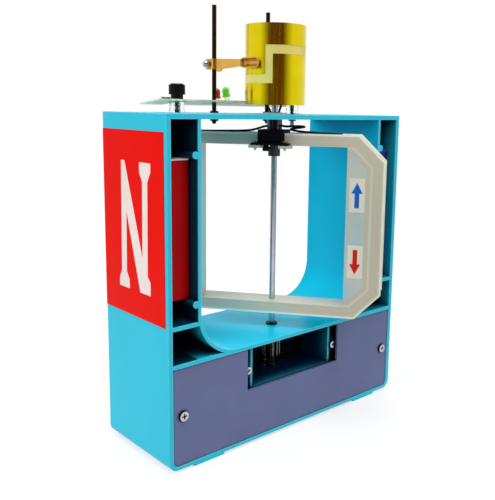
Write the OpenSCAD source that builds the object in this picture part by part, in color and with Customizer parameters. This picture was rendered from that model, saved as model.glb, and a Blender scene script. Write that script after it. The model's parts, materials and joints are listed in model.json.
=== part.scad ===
// Classroom generator demonstrator: a hand-cranked coil turns between two block magnets, and a combined
// slip-ring and split-ring commutator on top of the shaft gives alternating or direct current.
// Millimetres. X to the right, Y to the back, Z up. The origin is on the floor under the body's centre.

/* [Body] */
// Width of the body
body_w = 200; // [180:1:240]
// Depth of the body, front to back
body_d = 70; // [66:1:90]
// Height of the top plate above the floor
body_h = 210; // [195:1:240]
// Thickness of the outer walls, the back wall and the top plate
wall = 3; // [2:0.1:4]
// Thickness of the curved walls beside the coil
inner_wall = 2; // [1.5:0.1:3]
// Thickness of the deck over the base and of the magnet shelves
deck_t = 2.5; // [2:0.1:3.5]
// Thickness of the base's bottom
bottom_t = 2; // [1.5:0.1:3]
// Radius of the lower outer corners
corner_r = 6; // [4:0.5:12]
// Height of the deck above the floor
base_h = 66.5; // [65:0.5:80]
// Height of the magnet shelf above the floor
shelf_h = 89.5; // [86:0.5:96]
// Width of each magnet column, from its outer side to the coil channel
column_w = 23; // [22:0.5:30]
// Radius of the coil channel's lower corners
channel_r = 27.5; // [20:0.5:34]
// Height of the feet
foot_h = 1.5; // [1:0.1:4]
// Length of each foot
foot_l = 22; // [12:1:40]
// Distance of each foot from the body's side
foot_in = 18; // [8:1:30]
// Depth of each foot
foot_d = 10; // [6:1:16]

/* [Front panel] */
// Thickness of the panel
panel_t = 1.6; // [1:0.1:2.5]
// Clearance round the panel
panel_gap = 0.2; // [0.1:0.05:0.5]
// Distance of the panel's face behind the body's front edge
panel_setback = 0.5; // [0:0.1:1]
// Radius of the panel's upper corners
panel_corner_r = 2; // [1:0.1:4]
// Width of the gear window
window_w = 82; // [70:1:100]
// Height of the gear window
window_h = 27.5; // [22:0.5:30]
// Distance of the panel's screws from the body's sides
panel_screw_in = 10; // [8:0.5:20]
// Height of the panel's screws
panel_screw_z = 34.5; // [15:0.5:50]
// Thread diameter of the panel screws
screw_d = 3; // [2.5:0.1:4]
// Head diameter of the panel screws
screw_head_d = 5.8; // [5:0.1:7]
// Head height of the panel and bracket screws
screw_head_h = 1.6; // [1:0.1:2.5]
// Length of the panel and bracket screws under the head
screw_l = 10; // [8:0.5:16]
// Wall of the posts that the panel screws hold in
boss_wall = 1.6; // [1.2:0.1:2.5]

/* [Gear bracket] */
// Wall thickness of the bracket
bracket_t = 1.5; // [1.2:0.1:1.8]
// Inside width of the bracket
bracket_w = 69; // [60:1:70]
// Clearance between the panel and the heads of the bracket's screws
bracket_gap = 0.3; // [0.2:0.1:2]
// Thickness of the bracket's floor
bracket_floor_t = 2.5; // [2:0.1:4]
// Width of the bracket's front rims
rim_w = 2.6; // [2:0.1:3]
// Thickness of the bracket's rims and screw ears
ear_t = 2; // [1.5:0.1:3]
// Height of the bracket's screw ears
ear_h = 11; // [8:0.5:14]
// Thread diameter of the bracket screws
bracket_screw_d = 2.6; // [2:0.1:3]
// Head diameter of the bracket screws
bracket_head_d = 4.7; // [4:0.1:5.5]

/* [Magnets and labels] */
// Thickness of each magnet
magnet_t = 17; // [12:0.5:17]
// Height of each magnet
magnet_h = 82.4; // [60:0.2:86]
// Distance of the magnets behind the body's front
magnet_setback = 8; // [4:0.5:20]
// Height of the magnets above their shelf
magnet_lift = 12.8; // [6:0.2:16]
// Diameter of the round ribs that locate the magnets
rib_d = 4.4; // [3:0.2:5]
// Thickness of the pole labels
label_t = 0.3; // [0.2:0.05:0.6]
// Height of the pole labels' lower edge
label_z = 89; // [70:1:100]
// Height of the pole labels
label_h = 111; // [80:1:115]
// Distance of the pole labels from the front edge
label_in = 2.5; // [1:0.5:10]

/* [Rotor] */
// Distance of the rotor's axis in front of the body's middle
axis_forward = 10; // [6:0.5:14]
// Diameter of the rotor shaft
shaft_d = 4; // [3:0.1:5]
// Radial clearance of running fits
run_gap = 0.05; // [0.02:0.01:0.1]
// Radial clearance of pieces seated on one another
seat_gap = 0.02; // [0.01:0.01:0.05]
// Turn of the coil from the body's width when it is at rest
coil_angle = 53.5; // [0:0.5:90]
// Clearance between the coil's ends and the channel
coil_gap = 2.5; // [2:0.1:8]
// Clearance between the coil and the deck
coil_floor_gap = 10; // [6:0.5:14]
// Clearance between the coil and the top plate
coil_top_gap = 9; // [8:0.5:14]
// Thickness of the coil over its flanges
coil_t = 18; // [14:0.5:24]
// Height of the coil's top and bottom bars
coil_bar = 8; // [7:0.5:12]
// Width of the coil's sides
coil_side = 24.5; // [20:0.5:30]
// Size of the coil's corner chamfers
coil_chamfer = 17; // [12:0.5:24]
// Thickness of the bobbin flanges
flange_t = 1.5; // [1:0.1:2.5]
// Wall thickness of the bobbin core
core_t = 2; // [1.2:0.1:3]
// Depth of the winding groove at the coil's sides
groove_side = 12; // [9:0.5:14]
// Depth of the winding groove at the bars
groove_bar = 6; // [5:0.5:6.5]
// Depth of the winding groove across the corners
groove_corner = 10; // [8:0.5:12]
// Distance of the winding below the flanges' edges
winding_in = 1; // [0.4:0.1:2]
// Half-width of the space left in the winding for the shaft
shaft_space = 3.2; // [2.8:0.1:4]
// Width of the arrow stickers on the coil
sticker_w = 10; // [6:0.5:14]
// Height of the arrow stickers
sticker_h = 22; // [14:0.5:30]
// Distance of the stickers from the coil's middle height
sticker_gap = 11; // [4:0.5:16]
// Distance of the stickers from the coil's opening
sticker_in = 2; // [1:0.5:4]

/* [Saddle and collar] */
// Length of the saddle's foot
saddle_l = 25; // [22:0.5:30]
// Length of the saddle over the bar
saddle_w = 17.5; // [12:0.5:18]
// Wall thickness of the saddle
saddle_t = 2; // [1.5:0.1:3]
// Depth of the saddle's foot in front of the coil
saddle_foot = 7; // [6.6:0.1:10]
// Thickness of the saddle's foot
saddle_foot_t = 1.4; // [1:0.1:2.5]
// Width of the bobbin's lugs under the saddle's foot
lug_w = 8; // [5:0.5:9]
// Thickness of those lugs
lug_t = 1.8; // [1.2:0.1:3]
// Diameter of the saddle screws
saddle_screw_d = 2.2; // [1.8:0.1:2.5]
// Length of the saddle screws' points below the lugs
saddle_screw_tip = 2; // [1.5:0.1:5]
// Outside diameter of the sleeve above the saddle
sleeve_d = 10; // [9.6:0.1:12]
// Wall thickness of the sleeve
sleeve_t = 1.2; // [0.8:0.1:1.4]
// Height of the sleeve's upper end above the top plate
sleeve_over = 1.2; // [0.5:0.1:3]
// Diameter of the shaft collar
collar_d = 8; // [7:0.1:12]
// Height of the shaft collar
collar_h = 7.5; // [7:0.5:10]

/* [Commutator] */
// Diameter of the commutator
comm_d = 39.5; // [34:0.5:44]
// Height of the commutator above the top plate
comm_lift = 6; // [5:0.5:10]
// Height of each slip ring
ring_h = 13.3; // [10:0.1:15]
// Height of the split ring between the slits
split_h = 12.6; // [10:0.1:16]
// Height of the level slits
slit_h = 5.6; // [3:0.1:7]
// Width of the upright slits
slit_w = 5; // [3:0.1:7]
// Thickness of the brass
brass_t = 1.4; // [1:0.1:2]
// Depth of the slits' filling below the brass
slit_depth = 0.2; // [0.1:0.05:0.5]

/* [Brushes] */
// Diameter of the brush rods
rod_d = 3; // [2.5:0.1:4]
// Height of the brush rods above the top plate
rod_h = 70; // [66:1:90]
// Distance of the brush rods from the back edge
rod_in = 10; // [8:0.5:14]
// Gap between a brush and the commutator
brush_gap = 0.3; // [0.2:0.05:0.6]
// Thickness of the brush strip
strip_t = 0.8; // [0.5:0.1:1]
// Height of the brush's trough
trough_d = 6.8; // [5:0.1:9]
// Length of the brush's trough
trough_l = 11.2; // [9:0.2:16]
// Length of the taper into the trough
trough_taper = 3.5; // [2:0.5:6]
// Reach of the left trough past the commutator's middle
left_over = 7.2; // [5:0.2:9]
// Reach of the right trough past the commutator's middle
right_over = 3; // [2:0.2:9]
// Height of the brush strip at the rod
strip_h = 7; // [5:0.1:8]
// Diameter of the clamp screws
clamp_d = 2; // [1.6:0.1:2.5]

/* [Binding posts and board] */
// Distance of the posts from the body's middle
post_x = 51; // [45:0.5:65]
// Distance of the posts from the back edge
post_in = 7; // [6:0.5:12]
// Diameter of the posts' studs
stud_d = 3; // [2.5:0.1:4]
// Diameter of the clear insulators
insulator_d = 9.8; // [8:0.1:12]
// Height of the clear insulators
insulator_h = 7.9; // [6:0.1:9]
// Diameter of the knobs' heads
knob_d = 10.5; // [9:0.1:13]
// Height of the knobs' heads
knob_h = 7; // [5:0.1:10]
// Diameter of the knobs' necks
knob_neck_d = 8; // [7:0.1:9]
// Height of the knobs' necks
knob_neck_h = 3.4; // [3:0.1:6]
// Reach of the board to the left of the body's middle
board_left = 72; // [66:1:80]
// Depth of the board
board_d = 22.5; // [20:0.5:24]
// Thickness of the board
board_t = 1; // [0.8:0.1:1.6]
// Backward slope of the board, in degrees
board_tilt = 7; // [0:0.5:8]
// Distance of the board's middle below the insulators' tops
board_drop = 1.4; // [1:0.1:2]
// Distance of the resistor's middle from the board's end
resistor_in = 6; // [5:0.5:10]
// Diameter of the lamps
lamp_d = 5; // [3:0.5:5]
// Height of the lamps
lamp_h = 7; // [5:0.5:9]
// Length of the red lamp's legs above the board
red_leg = 2.8; // [1:0.1:5]
// Length of the green lamp's legs above the board
green_leg = 4.2; // [1:0.1:5]
// Lean of the green lamp to the left, in degrees
green_lean = 10; // [0:1:12]

/* [Hand drive] */
// Tooth module of the gears
gear_m = 0.9; // [0.8:0.05:1.1]
// Teeth on the pinion
pinion_teeth = 12; // [10:1:12]
// Teeth on the crown wheel
crown_teeth = 36; // [30:1:36]
// Height of the pinion's teeth
pinion_h = 10.4; // [8:0.2:12]
// Distance of the pinion's upper end below the deck
pinion_drop = 8.8; // [6:0.1:10]
// Distance of the crown wheel's upper teeth, at their middle, below the pinion's upper end
mesh_drop = 3.5; // [3:0.1:4.5]
// Length of the crown wheel's teeth
crown_face = 3; // [2:0.5:3]
// Thickness of the crown wheel
crown_t = 4; // [3:0.5:6]
// Diameter of the crank shaft
crank_d = 6; // [5:0.1:8]
// Wall of the crank shaft's bush
crank_bush_wall = 2; // [1.5:0.1:3]
// Length of the bush inside the back wall
crank_bush_l = 10; // [6:0.5:14]
// Width of the bush's flange outside the back wall
crank_flange_w = 3; // [2:0.5:5]
// Wall of the crank's hub
crank_hub_wall = 3.5; // [2.5:0.5:5]
// Length of the screw in the crank shaft's end
crank_screw_l = 8; // [5:0.5:12]
// Throw of the crank
crank_r = 23; // [16:0.5:24]
// Thickness of the crank's arm
crank_t = 4; // [3:0.5:6]
// Width of the crank's arm
crank_w = 10; // [8:0.5:12]
// Diameter of the crank knob
crank_knob_d = 10; // [8:0.5:12]
// Length of the crank knob
crank_knob_l = 22; // [16:0.5:30]
// Diameter of the crank knob's pin
crank_pin_d = 4; // [3:0.1:5]

/* [Hidden] */
$fn = 96;
// overlap of shapes that are fused, and reach of a cut past a face
eps = 0.3;
// end play between pieces that turn against each other
play = 0.3;
// clearance of a screw or stud in a plain hole
hole_gap = 0.2;

// Places in the body
y_front = -body_d / 2;
y_back = body_d / 2;
y_inside = y_back - wall;
x_inside = body_w / 2 - wall;
plate_z = body_h - wall;
deck_z = base_h - deck_t;
bottom_z = foot_h + bottom_t;
channel_half = body_w / 2 - column_w;
curve_x = channel_half - channel_r;
curve_z = base_h + channel_r;
cell_x = channel_half + inner_wall;
base_corner_r = corner_r - bottom_t;
axis_y = -axis_forward;

// Places of the panel and the bracket
window_z = deck_z - window_h;
panel_screw_x = body_w / 2 - panel_screw_in;
panel_front = y_front + panel_setback;
panel_back = panel_front + panel_t;
bracket_front = panel_back + screw_head_h + bracket_gap;
bracket_half = bracket_w / 2;
bracket_outer = bracket_half + bracket_t;
bracket_top = deck_z - seat_gap;
ear_post_d = bracket_screw_d + 2;
ear_screw_x = bracket_outer + ear_post_d / 2 + 0.3;
ear_screw_z = (window_z + deck_z) / 2 - 1.8;
ear_end = ear_screw_x + bracket_head_d / 2;

// Places of the magnets
magnet_z = shelf_h + magnet_lift;
magnet_y = y_front + magnet_setback;
rib_x = cell_x + 1.4;

// Places of the gears
pinion_r = gear_m * pinion_teeth / 2;
crown_r = gear_m * crown_teeth / 2;
addendum = 0.85 * gear_m;
dedendum = 1.15 * gear_m;
pinion_top = deck_z - pinion_drop;
pinion_z = pinion_top - pinion_h;
mesh_z = pinion_top - mesh_drop;
mesh_y = axis_y + pinion_r;
crank_z = mesh_z - crown_r;
crown_y = mesh_y + dedendum;
bracket_rear = mesh_y - addendum - 0.8;
pivot_flange_h = 1.5;
pivot_d = shaft_d + 1.6;
hub_z = window_z + pivot_flange_h + play;

// Places of the crank
crank_bush_d = crank_d + 2 * crank_bush_wall;
crank_flange_d = crank_bush_d + 2 * crank_flange_w;
crank_flange_h = 2;
crank_bush_y = y_inside - crank_bush_l;
arm_y = y_back + crank_flange_h + play;
arm_hub_h = 2 * crank_t;
arm_back = arm_y + arm_hub_h;
knob_y = arm_back + play;
knob_end = knob_y + crank_knob_l;
pin_head_d = crank_pin_d + 2.4;
pin_head_h = 1.5;
crank_screw_d = crank_d / 2;

// Places of the coil
coil_half = channel_half - coil_gap;
coil_z0 = base_h + coil_floor_gap;
coil_z1 = plate_z - coil_top_gap;
open_half = coil_half - coil_side;
open_z0 = coil_z0 + coil_bar;
open_z1 = coil_z1 - coil_bar;
seat_half = coil_half - groove_side;
seat_z0 = coil_z0 + groove_bar;
seat_z1 = coil_z1 - groove_bar;
seat_chamfer = coil_chamfer + groove_corner * sqrt(2) - groove_side - groove_bar;
core_y = coil_t / 2 - flange_t;
saddle_z = coil_z1 + saddle_t;
foot_z0 = open_z1 + 0.1;
foot_z1 = foot_z0 + saddle_foot_t;
foot_y = -coil_t / 2 - saddle_foot;
lug_z = foot_z0 - lug_t;
saddle_screw_x = saddle_l / 2 - 2.7;
saddle_screw_y = foot_y + 2.5;
collar_screw_z = open_z1 - 2.5;
collar_screw_d = 2.2;
label_face = -coil_t / 2;
sticker_x = open_half + sticker_in + sticker_w / 2;
sticker_t = 0.2;
coil_mid = (coil_z0 + coil_z1) / 2;

// Places of the sleeve, the bushes and the shaft's ends
sleeve_top = body_h + sleeve_over;
top_bush_d = sleeve_d + 3;
floor_bush_d = shaft_d + 2.4;
floor_flange_d = shaft_d + 4;
shaft_z0 = window_z - bracket_floor_t - 1.5;

// Places of the commutator
comm_r = comm_d / 2;
comm_z0 = body_h + comm_lift;
split_z0 = comm_z0 + ring_h;
split_z1 = split_z0 + 2 * slit_h + split_h;
comm_z1 = split_z1 + ring_h;
comm_core_r = comm_r - brass_t - seat_gap;
comm_boss_d = shaft_d + 6;
web_z = comm_z0 + 2;
shaft_z1 = comm_z1 - 2;

// Places of the brushes
rod_x = comm_r + brush_gap + trough_d / 2;
rod_y = y_back - rod_in;
rod_end = plate_z - 4.4;
brush_z = (comm_z0 + comm_z1) / 2 + 0.8;
eye_d = rod_d + 1.6;
clip_y = eye_d / 2 + 2.6;
clip_x = 0.75;
clip_out = clip_x + strip_t;

// Places of the posts and the board
post_y = y_back - post_in;
board_y = post_y - 1.25;
board_z = body_h + insulator_h - board_drop;
knob_z = body_h + insulator_h + seat_gap;
knob_top = knob_z + knob_neck_h + knob_h;
insert_d = stud_d + 2;
insert_top = knob_z + knob_neck_h + 3;
nut_h = 2.4;
lamp_red_x = -17.6;
lamp_green_x = -8.5;
lamp_y = post_y + 2;
resistor_x = resistor_in - board_left;

// Leads: hand-chosen points along each route, in the coil's own frame
// (along the coil, across it, above its top)
lead_d = 1.5;
lead_sides = 8;
lead_steps = 3;
lead_left_points = [
    [-6, -1.5, 19.6], [-5, -1.3, 17.4], [-3.1, -0.3, 14.4], [-2.9, 0, 11.5], [-2.9, 0, 7.2],
    [-3.4, -0.2, 5.2], [-5.2, -0.4, 4.2], [-7.4, -2, 3.6], [-9.8, -4, 2.7], [-14, -6, 1.5],
    [-20, -6, 0.9], [-28, -6, 0.6], [-38, -5.5, 0.3], [-49, -5, 0.1], [-54, -5, -0.1]];
lead_right_points = [
    [4, 1.5, 19.9], [3.9, 1.3, 17.4], [3.1, 0.3, 14.4], [2.9, 0, 11.5], [2.9, 0, 7.4],
    [3.4, -0.2, 5.4], [5.3, -0.5, 4.6], [8, -2.5, 4.2], [12, -5, 4.4], [16.5, -5.8, 4.6],
    [20, -3.5, 4.4], [20, 0, 4], [16.5, 2, 3.4], [12.7, 1.4, 2.9], [11.3, -1.6, 2.4],
    [13.5, -4.8, 1.9], [19, -6, 1.2], [28, -6, 0.7], [38, -5.5, 0.3], [46, -5, 0]];

blue_plastic = [0.25, 0.76, 0.87];
slate = [0.38, 0.42, 0.58];
steel = [0.75, 0.76, 0.78];
dark_steel = [0.25, 0.24, 0.24];
brass_yellow = [0.85, 0.72, 0.1];
brass_orange = [0.88, 0.62, 0.2];
cream = [0.93, 0.9, 0.78];
milky = [0.85, 0.84, 0.78];
black_plastic = [0.08, 0.08, 0.1];
pole_red = [0.88, 0.1, 0.04];
pole_blue = [0.12, 0.2, 0.62];

// Helpers

// a drawing in X and Z, made solid from y0 back to y1
module slab_y(y0, y1) {
    translate([0, y1, 0]) rotate([90, 0, 0]) linear_extrude(y1 - y0) children();
}

// a drawing in Y and Z, made solid from x0 to x1
module slab_x(x0, x1) {
    translate([x0, 0, 0]) rotate([90, 0, 90]) linear_extrude(x1 - x0) children();
}

// a round bar along Y
module bar_y(x, z, y0, y1, d) {
    translate([x, y1, z]) rotate([90, 0, 0]) cylinder(h = y1 - y0, d = d);
}

// a round bar along Z
module bar_z(x, y, z0, z1, d) {
    translate([x, y, z0]) cylinder(h = z1 - z0, d = d);
}

// the shape and its mirror image on the other side
module both_sides() {
    children();
    mirror([1, 0, 0]) children();
}

// the frame of the rotor's axis
module at_axis() {
    translate([0, axis_y, 0]) children();
}

// the coil's own frame: X along the coil, Y across it
module at_coil() {
    at_axis() rotate([0, 0, -coil_angle]) children();
}

// the frame of the crank's axis
module at_crank() {
    translate([0, 0, crank_z]) children();
}

// a pan-head screw along +Y with its head's seat at y = 0
module cross_screw(d, head_d) {
    slot_l = 0.6 * head_d;
    slot_w = 0.16 * head_d;
    difference() {
        union() {
            bar_y(0, 0, -screw_head_h, 0, head_d);
            bar_y(0, 0, -eps, screw_l, d);
        }
        for (turn = [0, 90])
            rotate([0, turn, 0])
                translate([-slot_l / 2, -screw_head_h - 1, -slot_w / 2])
                    cube([slot_l, 1 + screw_head_h / 2, slot_w]);
    }
}

// a hexagon nut with a clear bore
module hex_nut(across, h, bore_d) {
    difference() {
        cylinder(h = h, d = across / cos(30), $fn = 6);
        translate([0, 0, -1]) cylinder(h = h + 2, d = bore_d);
    }
}

// an octagon: half-width, lower and upper edge, corner chamfer
module octagon(half, z0, z1, c) {
    polygon([[half, z0 + c], [half, z1 - c], [half - c, z1], [c - half, z1],
        [-half, z1 - c], [-half, z0 + c], [c - half, z0], [half - c, z0]]);
}

// Body

// a rectangle from x0 to x1 and z0 to z1 with its two lower corners rounded
module round_bottom(half, z0, z1, r) {
    translate([-half, z0 + r]) square([2 * half, z1 - z0 - r]);
    translate([r - half, z0]) square([2 * (half - r), 2 * r]);
    for (side = [-1, 1])
        translate([side * (half - r), z0 + r]) circle(r);
}

// a magnet column's upper cell
module upper_cell() {
    translate([cell_x, shelf_h]) square([x_inside - cell_x, plate_z - shelf_h]);
}

// the small cell under the magnet shelf, bounded by the channel's curved wall
module lower_cell() {
    difference() {
        translate([curve_x, base_h]) square([x_inside - curve_x, shelf_h - deck_t - base_h]);
        translate([curve_x, curve_z]) circle(channel_r + inner_wall);
    }
}

// a post of diameter d from the back wall forward to y, for a screw of diameter screw
module screw_post(x, z, y, d, screw) {
    difference() {
        bar_y(x, z, y, y_inside + eps, d);
        bar_y(x, z, y - 1, y + screw_l, screw + 2 * seat_gap);
    }
}

// the panel's outline: round at the bottom, with smaller rounded corners at the top
module panel_outline() {
    half = x_inside - panel_gap;
    top = deck_z - panel_gap;
    r = panel_corner_r;
    round_bottom(half, bottom_z + panel_gap, top - r, base_corner_r - panel_gap);
    translate([r - half, top - 2 * r]) square([2 * (half - r), 2 * r]);
    for (side = [-1, 1])
        translate([side * (half - r), top - r]) circle(r);
}

// four feet at the front and back edges and the flat sole between them
module feet() {
    translate([foot_in - body_w / 2, foot_d - body_d / 2])
        square([body_w - 2 * foot_in, body_d - 2 * foot_d]);
    for (x = [foot_in - body_w / 2, body_w / 2 - foot_in - foot_l], y = [y_front, y_back - foot_d - eps])
        translate([x, y]) square([foot_l, foot_d + eps]);
}

module main_frame() {
    color(blue_plastic) {
        difference() {
            union() {
                difference() {
                    slab_y(y_front, y_back) round_bottom(body_w / 2, foot_h, body_h, corner_r);
                    slab_y(y_front - 1, y_back + 1) round_bottom(channel_half, base_h, plate_z, channel_r);
                    slab_y(y_front - 1, y_inside)
                        round_bottom(x_inside, bottom_z, deck_z, base_corner_r);
                    both_sides() slab_y(y_front - 1, y_inside) upper_cell();
                    both_sides() slab_y(y_front - 1, y_inside) lower_cell();
                }
                linear_extrude(foot_h + eps) feet();
                both_sides() {
                    for (z = [magnet_z - rib_d / 2, magnet_z + magnet_h + rib_d / 2])
                        bar_y(rib_x, z, y_front, y_inside + eps, rib_d - 2 * seat_gap);
                    screw_post(panel_screw_x, panel_screw_z, panel_back, screw_d + 2 * boss_wall, screw_d);
                    screw_post(ear_screw_x, ear_screw_z, bracket_front + ear_t, ear_post_d, bracket_screw_d);
                }
            }
            bar_z(0, axis_y, plate_z - 1, body_h + 1, top_bush_d + 2 * seat_gap);
            bar_z(0, axis_y, deck_z - 1, base_h + 1, floor_bush_d + 2 * seat_gap);
            bar_y(0, crank_z, y_inside - 1, y_back + 1, crank_bush_d + 2 * seat_gap);
            both_sides() {
                bar_z(rod_x, rod_y, plate_z - 1, body_h + 1, rod_d + 2 * seat_gap);
                bar_z(post_x, post_y, plate_z - 1, body_h + 1, stud_d + 2 * seat_gap);
            }
        }
    }
}

module front_panel() {
    color(slate)
        difference() {
            slab_y(panel_front, panel_back) panel_outline();
            translate([-window_w / 2, panel_front - 1, window_z]) cube([window_w, panel_t + 2, window_h + 1]);
            both_sides()
                bar_y(panel_screw_x, panel_screw_z, panel_front - 1, panel_back + 1, screw_d + hole_gap);
        }
}

module panel_screws() {
    color(steel) both_sides() translate([panel_screw_x, panel_front, panel_screw_z])
        cross_screw(screw_d, screw_head_d);
}

module gear_bracket() {
    floor_z = window_z - bracket_floor_t;
    depth = bracket_rear - bracket_front;
    height = bracket_top - floor_z;
    ear_back = bracket_front + ear_t;
    color(blue_plastic)
        difference() {
            union() {
                translate([-bracket_outer, bracket_front, floor_z])
                    cube([2 * bracket_outer, depth, bracket_floor_t]);
                both_sides() {
                    translate([bracket_half, bracket_front, floor_z]) cube([bracket_t, depth, height]);
                    translate([bracket_half, bracket_front, floor_z]) cube([rim_w, ear_t, height]);
                    translate([bracket_half, bracket_front, ear_screw_z - ear_h / 2])
                        cube([ear_end - bracket_half, ear_t, ear_h]);
                }
            }
            bar_z(0, axis_y, floor_z - 1, window_z + 1, pivot_d + 2 * seat_gap);
            both_sides()
                bar_y(ear_screw_x, ear_screw_z, bracket_front - 1, ear_back + 1, bracket_screw_d + hole_gap);
        }
}

module bracket_screws() {
    color(steel) both_sides() translate([ear_screw_x, bracket_front, ear_screw_z])
        cross_screw(bracket_screw_d, bracket_head_d);
}

// Magnets and labels

// a label on the right side, from the body's front margin to its back edge
module pole_label() {
    slab_x(body_w / 2, body_w / 2 + label_t)
        translate([y_front + label_in, label_z]) square([body_d - label_in, label_h]);
}

// a magnet against the right column's outer wall
module block_magnet() {
    translate([x_inside - magnet_t, magnet_y, magnet_z])
        cube([magnet_t, y_inside - magnet_y, magnet_h]);
}

module pole_label_n() {
    color(pole_red) mirror([1, 0, 0]) pole_label();
}

module pole_label_s() {
    color(pole_blue) pole_label();
}

module magnet_n() {
    color(pole_red) mirror([1, 0, 0]) block_magnet();
}

module magnet_s() {
    color(pole_blue) block_magnet();
}

// Bushes

module top_bush() {
    flange_d = top_bush_d + 3;
    color(dark_steel) at_axis()
        difference() {
            union() {
                bar_z(0, 0, plate_z, body_h + eps, top_bush_d);
                bar_z(0, 0, body_h, body_h + sleeve_over - 0.2, flange_d);
            }
            bar_z(0, 0, plate_z - 1, sleeve_top + 1, sleeve_d + 2 * run_gap);
        }
}

module floor_bush() {
    color(dark_steel) at_axis()
        difference() {
            union() {
                bar_z(0, 0, deck_z - 1.5, base_h + eps, floor_bush_d);
                bar_z(0, 0, base_h, base_h + 1, floor_flange_d);
            }
            bar_z(0, 0, deck_z - 3, base_h + 2, shaft_d + 2 * run_gap);
        }
}

module pivot_bush() {
    color(brass_yellow) at_axis()
        difference() {
            union() {
                bar_z(0, 0, window_z - bracket_floor_t - 1, window_z + eps, pivot_d);
                bar_z(0, 0, window_z, window_z + pivot_flange_h, pivot_d + 2);
            }
            bar_z(0, 0, shaft_z0 - 1, window_z + 3, shaft_d + 2 * run_gap);
        }
}

module crank_bush() {
    color(brass_yellow) at_crank()
        difference() {
            union() {
                bar_y(0, 0, crank_bush_y, y_back + eps, crank_bush_d);
                bar_y(0, 0, y_back, y_back + crank_flange_h, crank_flange_d);
            }
            bar_y(0, 0, crank_bush_y - 1, y_back + 4, crank_d + 2 * run_gap);
        }
}

// Brush rods, posts and board

// the left brush rod, with a pointed lower end
module brush_rod() {
    point_h = 1;
    translate([-rod_x, rod_y, 0]) {
        bar_z(0, 0, rod_end + point_h, body_h + rod_h, rod_d);
        translate([0, 0, rod_end]) cylinder(h = point_h, d1 = rod_d / 2, d2 = rod_d);
    }
}

module brush_rod_left() {
    color(dark_steel) brush_rod();
}

module brush_rod_right() {
    color(dark_steel) mirror([1, 0, 0]) brush_rod();
}

module rod_nuts() {
    across = rod_d + 2.5;
    color(dark_steel) both_sides() translate([rod_x, rod_y, 0]) {
        translate([0, 0, plate_z - nut_h]) hex_nut(across, nut_h, rod_d + 2 * seat_gap);
        translate([0, 0, body_h]) hex_nut(across, nut_h / 2, rod_d + 2 * seat_gap);
    }
}

module post_insulators() {
    color([0.9, 0.95, 0.95, 0.5]) both_sides() translate([post_x, post_y, body_h])
        difference() {
            union() {
                cylinder(h = insulator_h, d = insulator_d);
                cylinder(h = 1.2, d = insulator_d + 0.8);
            }
            translate([0, 0, -1]) cylinder(h = insulator_h + 2, d = stud_d + 2 * seat_gap);
        }
}

module post_studs() {
    color(steel) both_sides() bar_z(post_x, post_y, plate_z - nut_h - 3.4, insert_top - 0.5, stud_d);
}

module post_nuts() {
    color(steel) both_sides() translate([post_x, post_y, plate_z - nut_h])
        hex_nut(stud_d + 2.5, nut_h, stud_d + 2 * seat_gap);
}

// the height of the board's upper face at y
function board_top(y) = board_z + (board_y - y) * tan(board_tilt) + board_t / 2 / cos(board_tilt);

// the board's own frame, sloping down to the back
module at_board() {
    translate([0, board_y, board_z]) rotate([-board_tilt, 0, 0]) children();
}

// the board, pushed onto the left insulator by an open slot and against the right one by a round notch
module led_board() {
    grip_d = insulator_d + 2 * seat_gap;
    color([0.8, 0.9, 0.8])
        difference() {
            at_board() translate([-board_left, -board_d / 2, -board_t / 2])
                cube([board_left + post_x, board_d, board_t]);
            translate([0, 0, body_h]) linear_extrude(20) {
                for (side = [-1, 1])
                    translate([side * post_x, post_y]) circle(d = grip_d);
                translate([-post_x - grip_d / 2, post_y]) square([grip_d, board_d]);
            }
            at_board() both_sides() bar_z(rod_x, rod_y - board_y, -board_t, board_t, rod_d + 2);
        }
}

// a lamp with a rim, a dome and two legs, leaning to the left from its place on the board
module lamp(x, leg, lean) {
    r = lamp_d / 2;
    leg_x = 1.27;
    leg_d = 0.6;
    translate([x, lamp_y, board_top(lamp_y) + 0.06]) rotate([0, -lean, 0]) {
        bar_z(0, 0, leg, leg + 1, lamp_d + 0.8);
        bar_z(0, 0, leg, leg + lamp_h - r, lamp_d);
        translate([0, 0, leg + lamp_h - r]) sphere(d = lamp_d);
        for (side = [-1, 1])
            bar_z(side * leg_x, 0, (leg_d / 2 - side * leg_x) * tan(lean), leg + eps, leg_d);
    }
}

module led_red() {
    color([0.85, 0.1, 0.08]) lamp(lamp_red_x, red_leg, 0);
}

module led_green() {
    color([0.3, 0.85, 0.15]) lamp(lamp_green_x, green_leg, green_lean);
}

module board_resistor() {
    body_l = 6;
    body_d = 1.4;
    lift = board_t / 2 + body_d / 2 + 0.02;
    color([0.3, 0.6, 0.3]) at_board() translate([resistor_x, -board_d / 2 + 2, lift]) rotate([0, 90, 0]) {
        bar_z(0, 0, -body_l / 2, body_l / 2, body_d - 0.3);
        for (end = [-1, 1])
            translate([0, 0, end * (body_l / 2 - 0.8) - 0.8]) cylinder(h = 1.6, d = body_d);
    }
}

// Rotor

module rotor_shaft() {
    color(steel) bar_z(0, axis_y, shaft_z0, shaft_z1, shaft_d);
}

// the tube over the shaft that carries the leads, slotted at its foot to let them out
module rotor_sleeve() {
    slot_w = lead_d + 1.1;
    slot_h = 5.2;
    color(steel) at_coil()
        difference() {
            bar_z(0, 0, saddle_z, sleeve_top, sleeve_d);
            bar_z(0, 0, saddle_z - 1, sleeve_top + 1, sleeve_d - 2 * sleeve_t);
            for (side = [0, 1])
                mirror([side, 0, 0]) translate([0, -slot_w + 0.9, saddle_z - 1])
                    cube([sleeve_d, slot_w, slot_h + 1]);
        }
}

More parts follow.
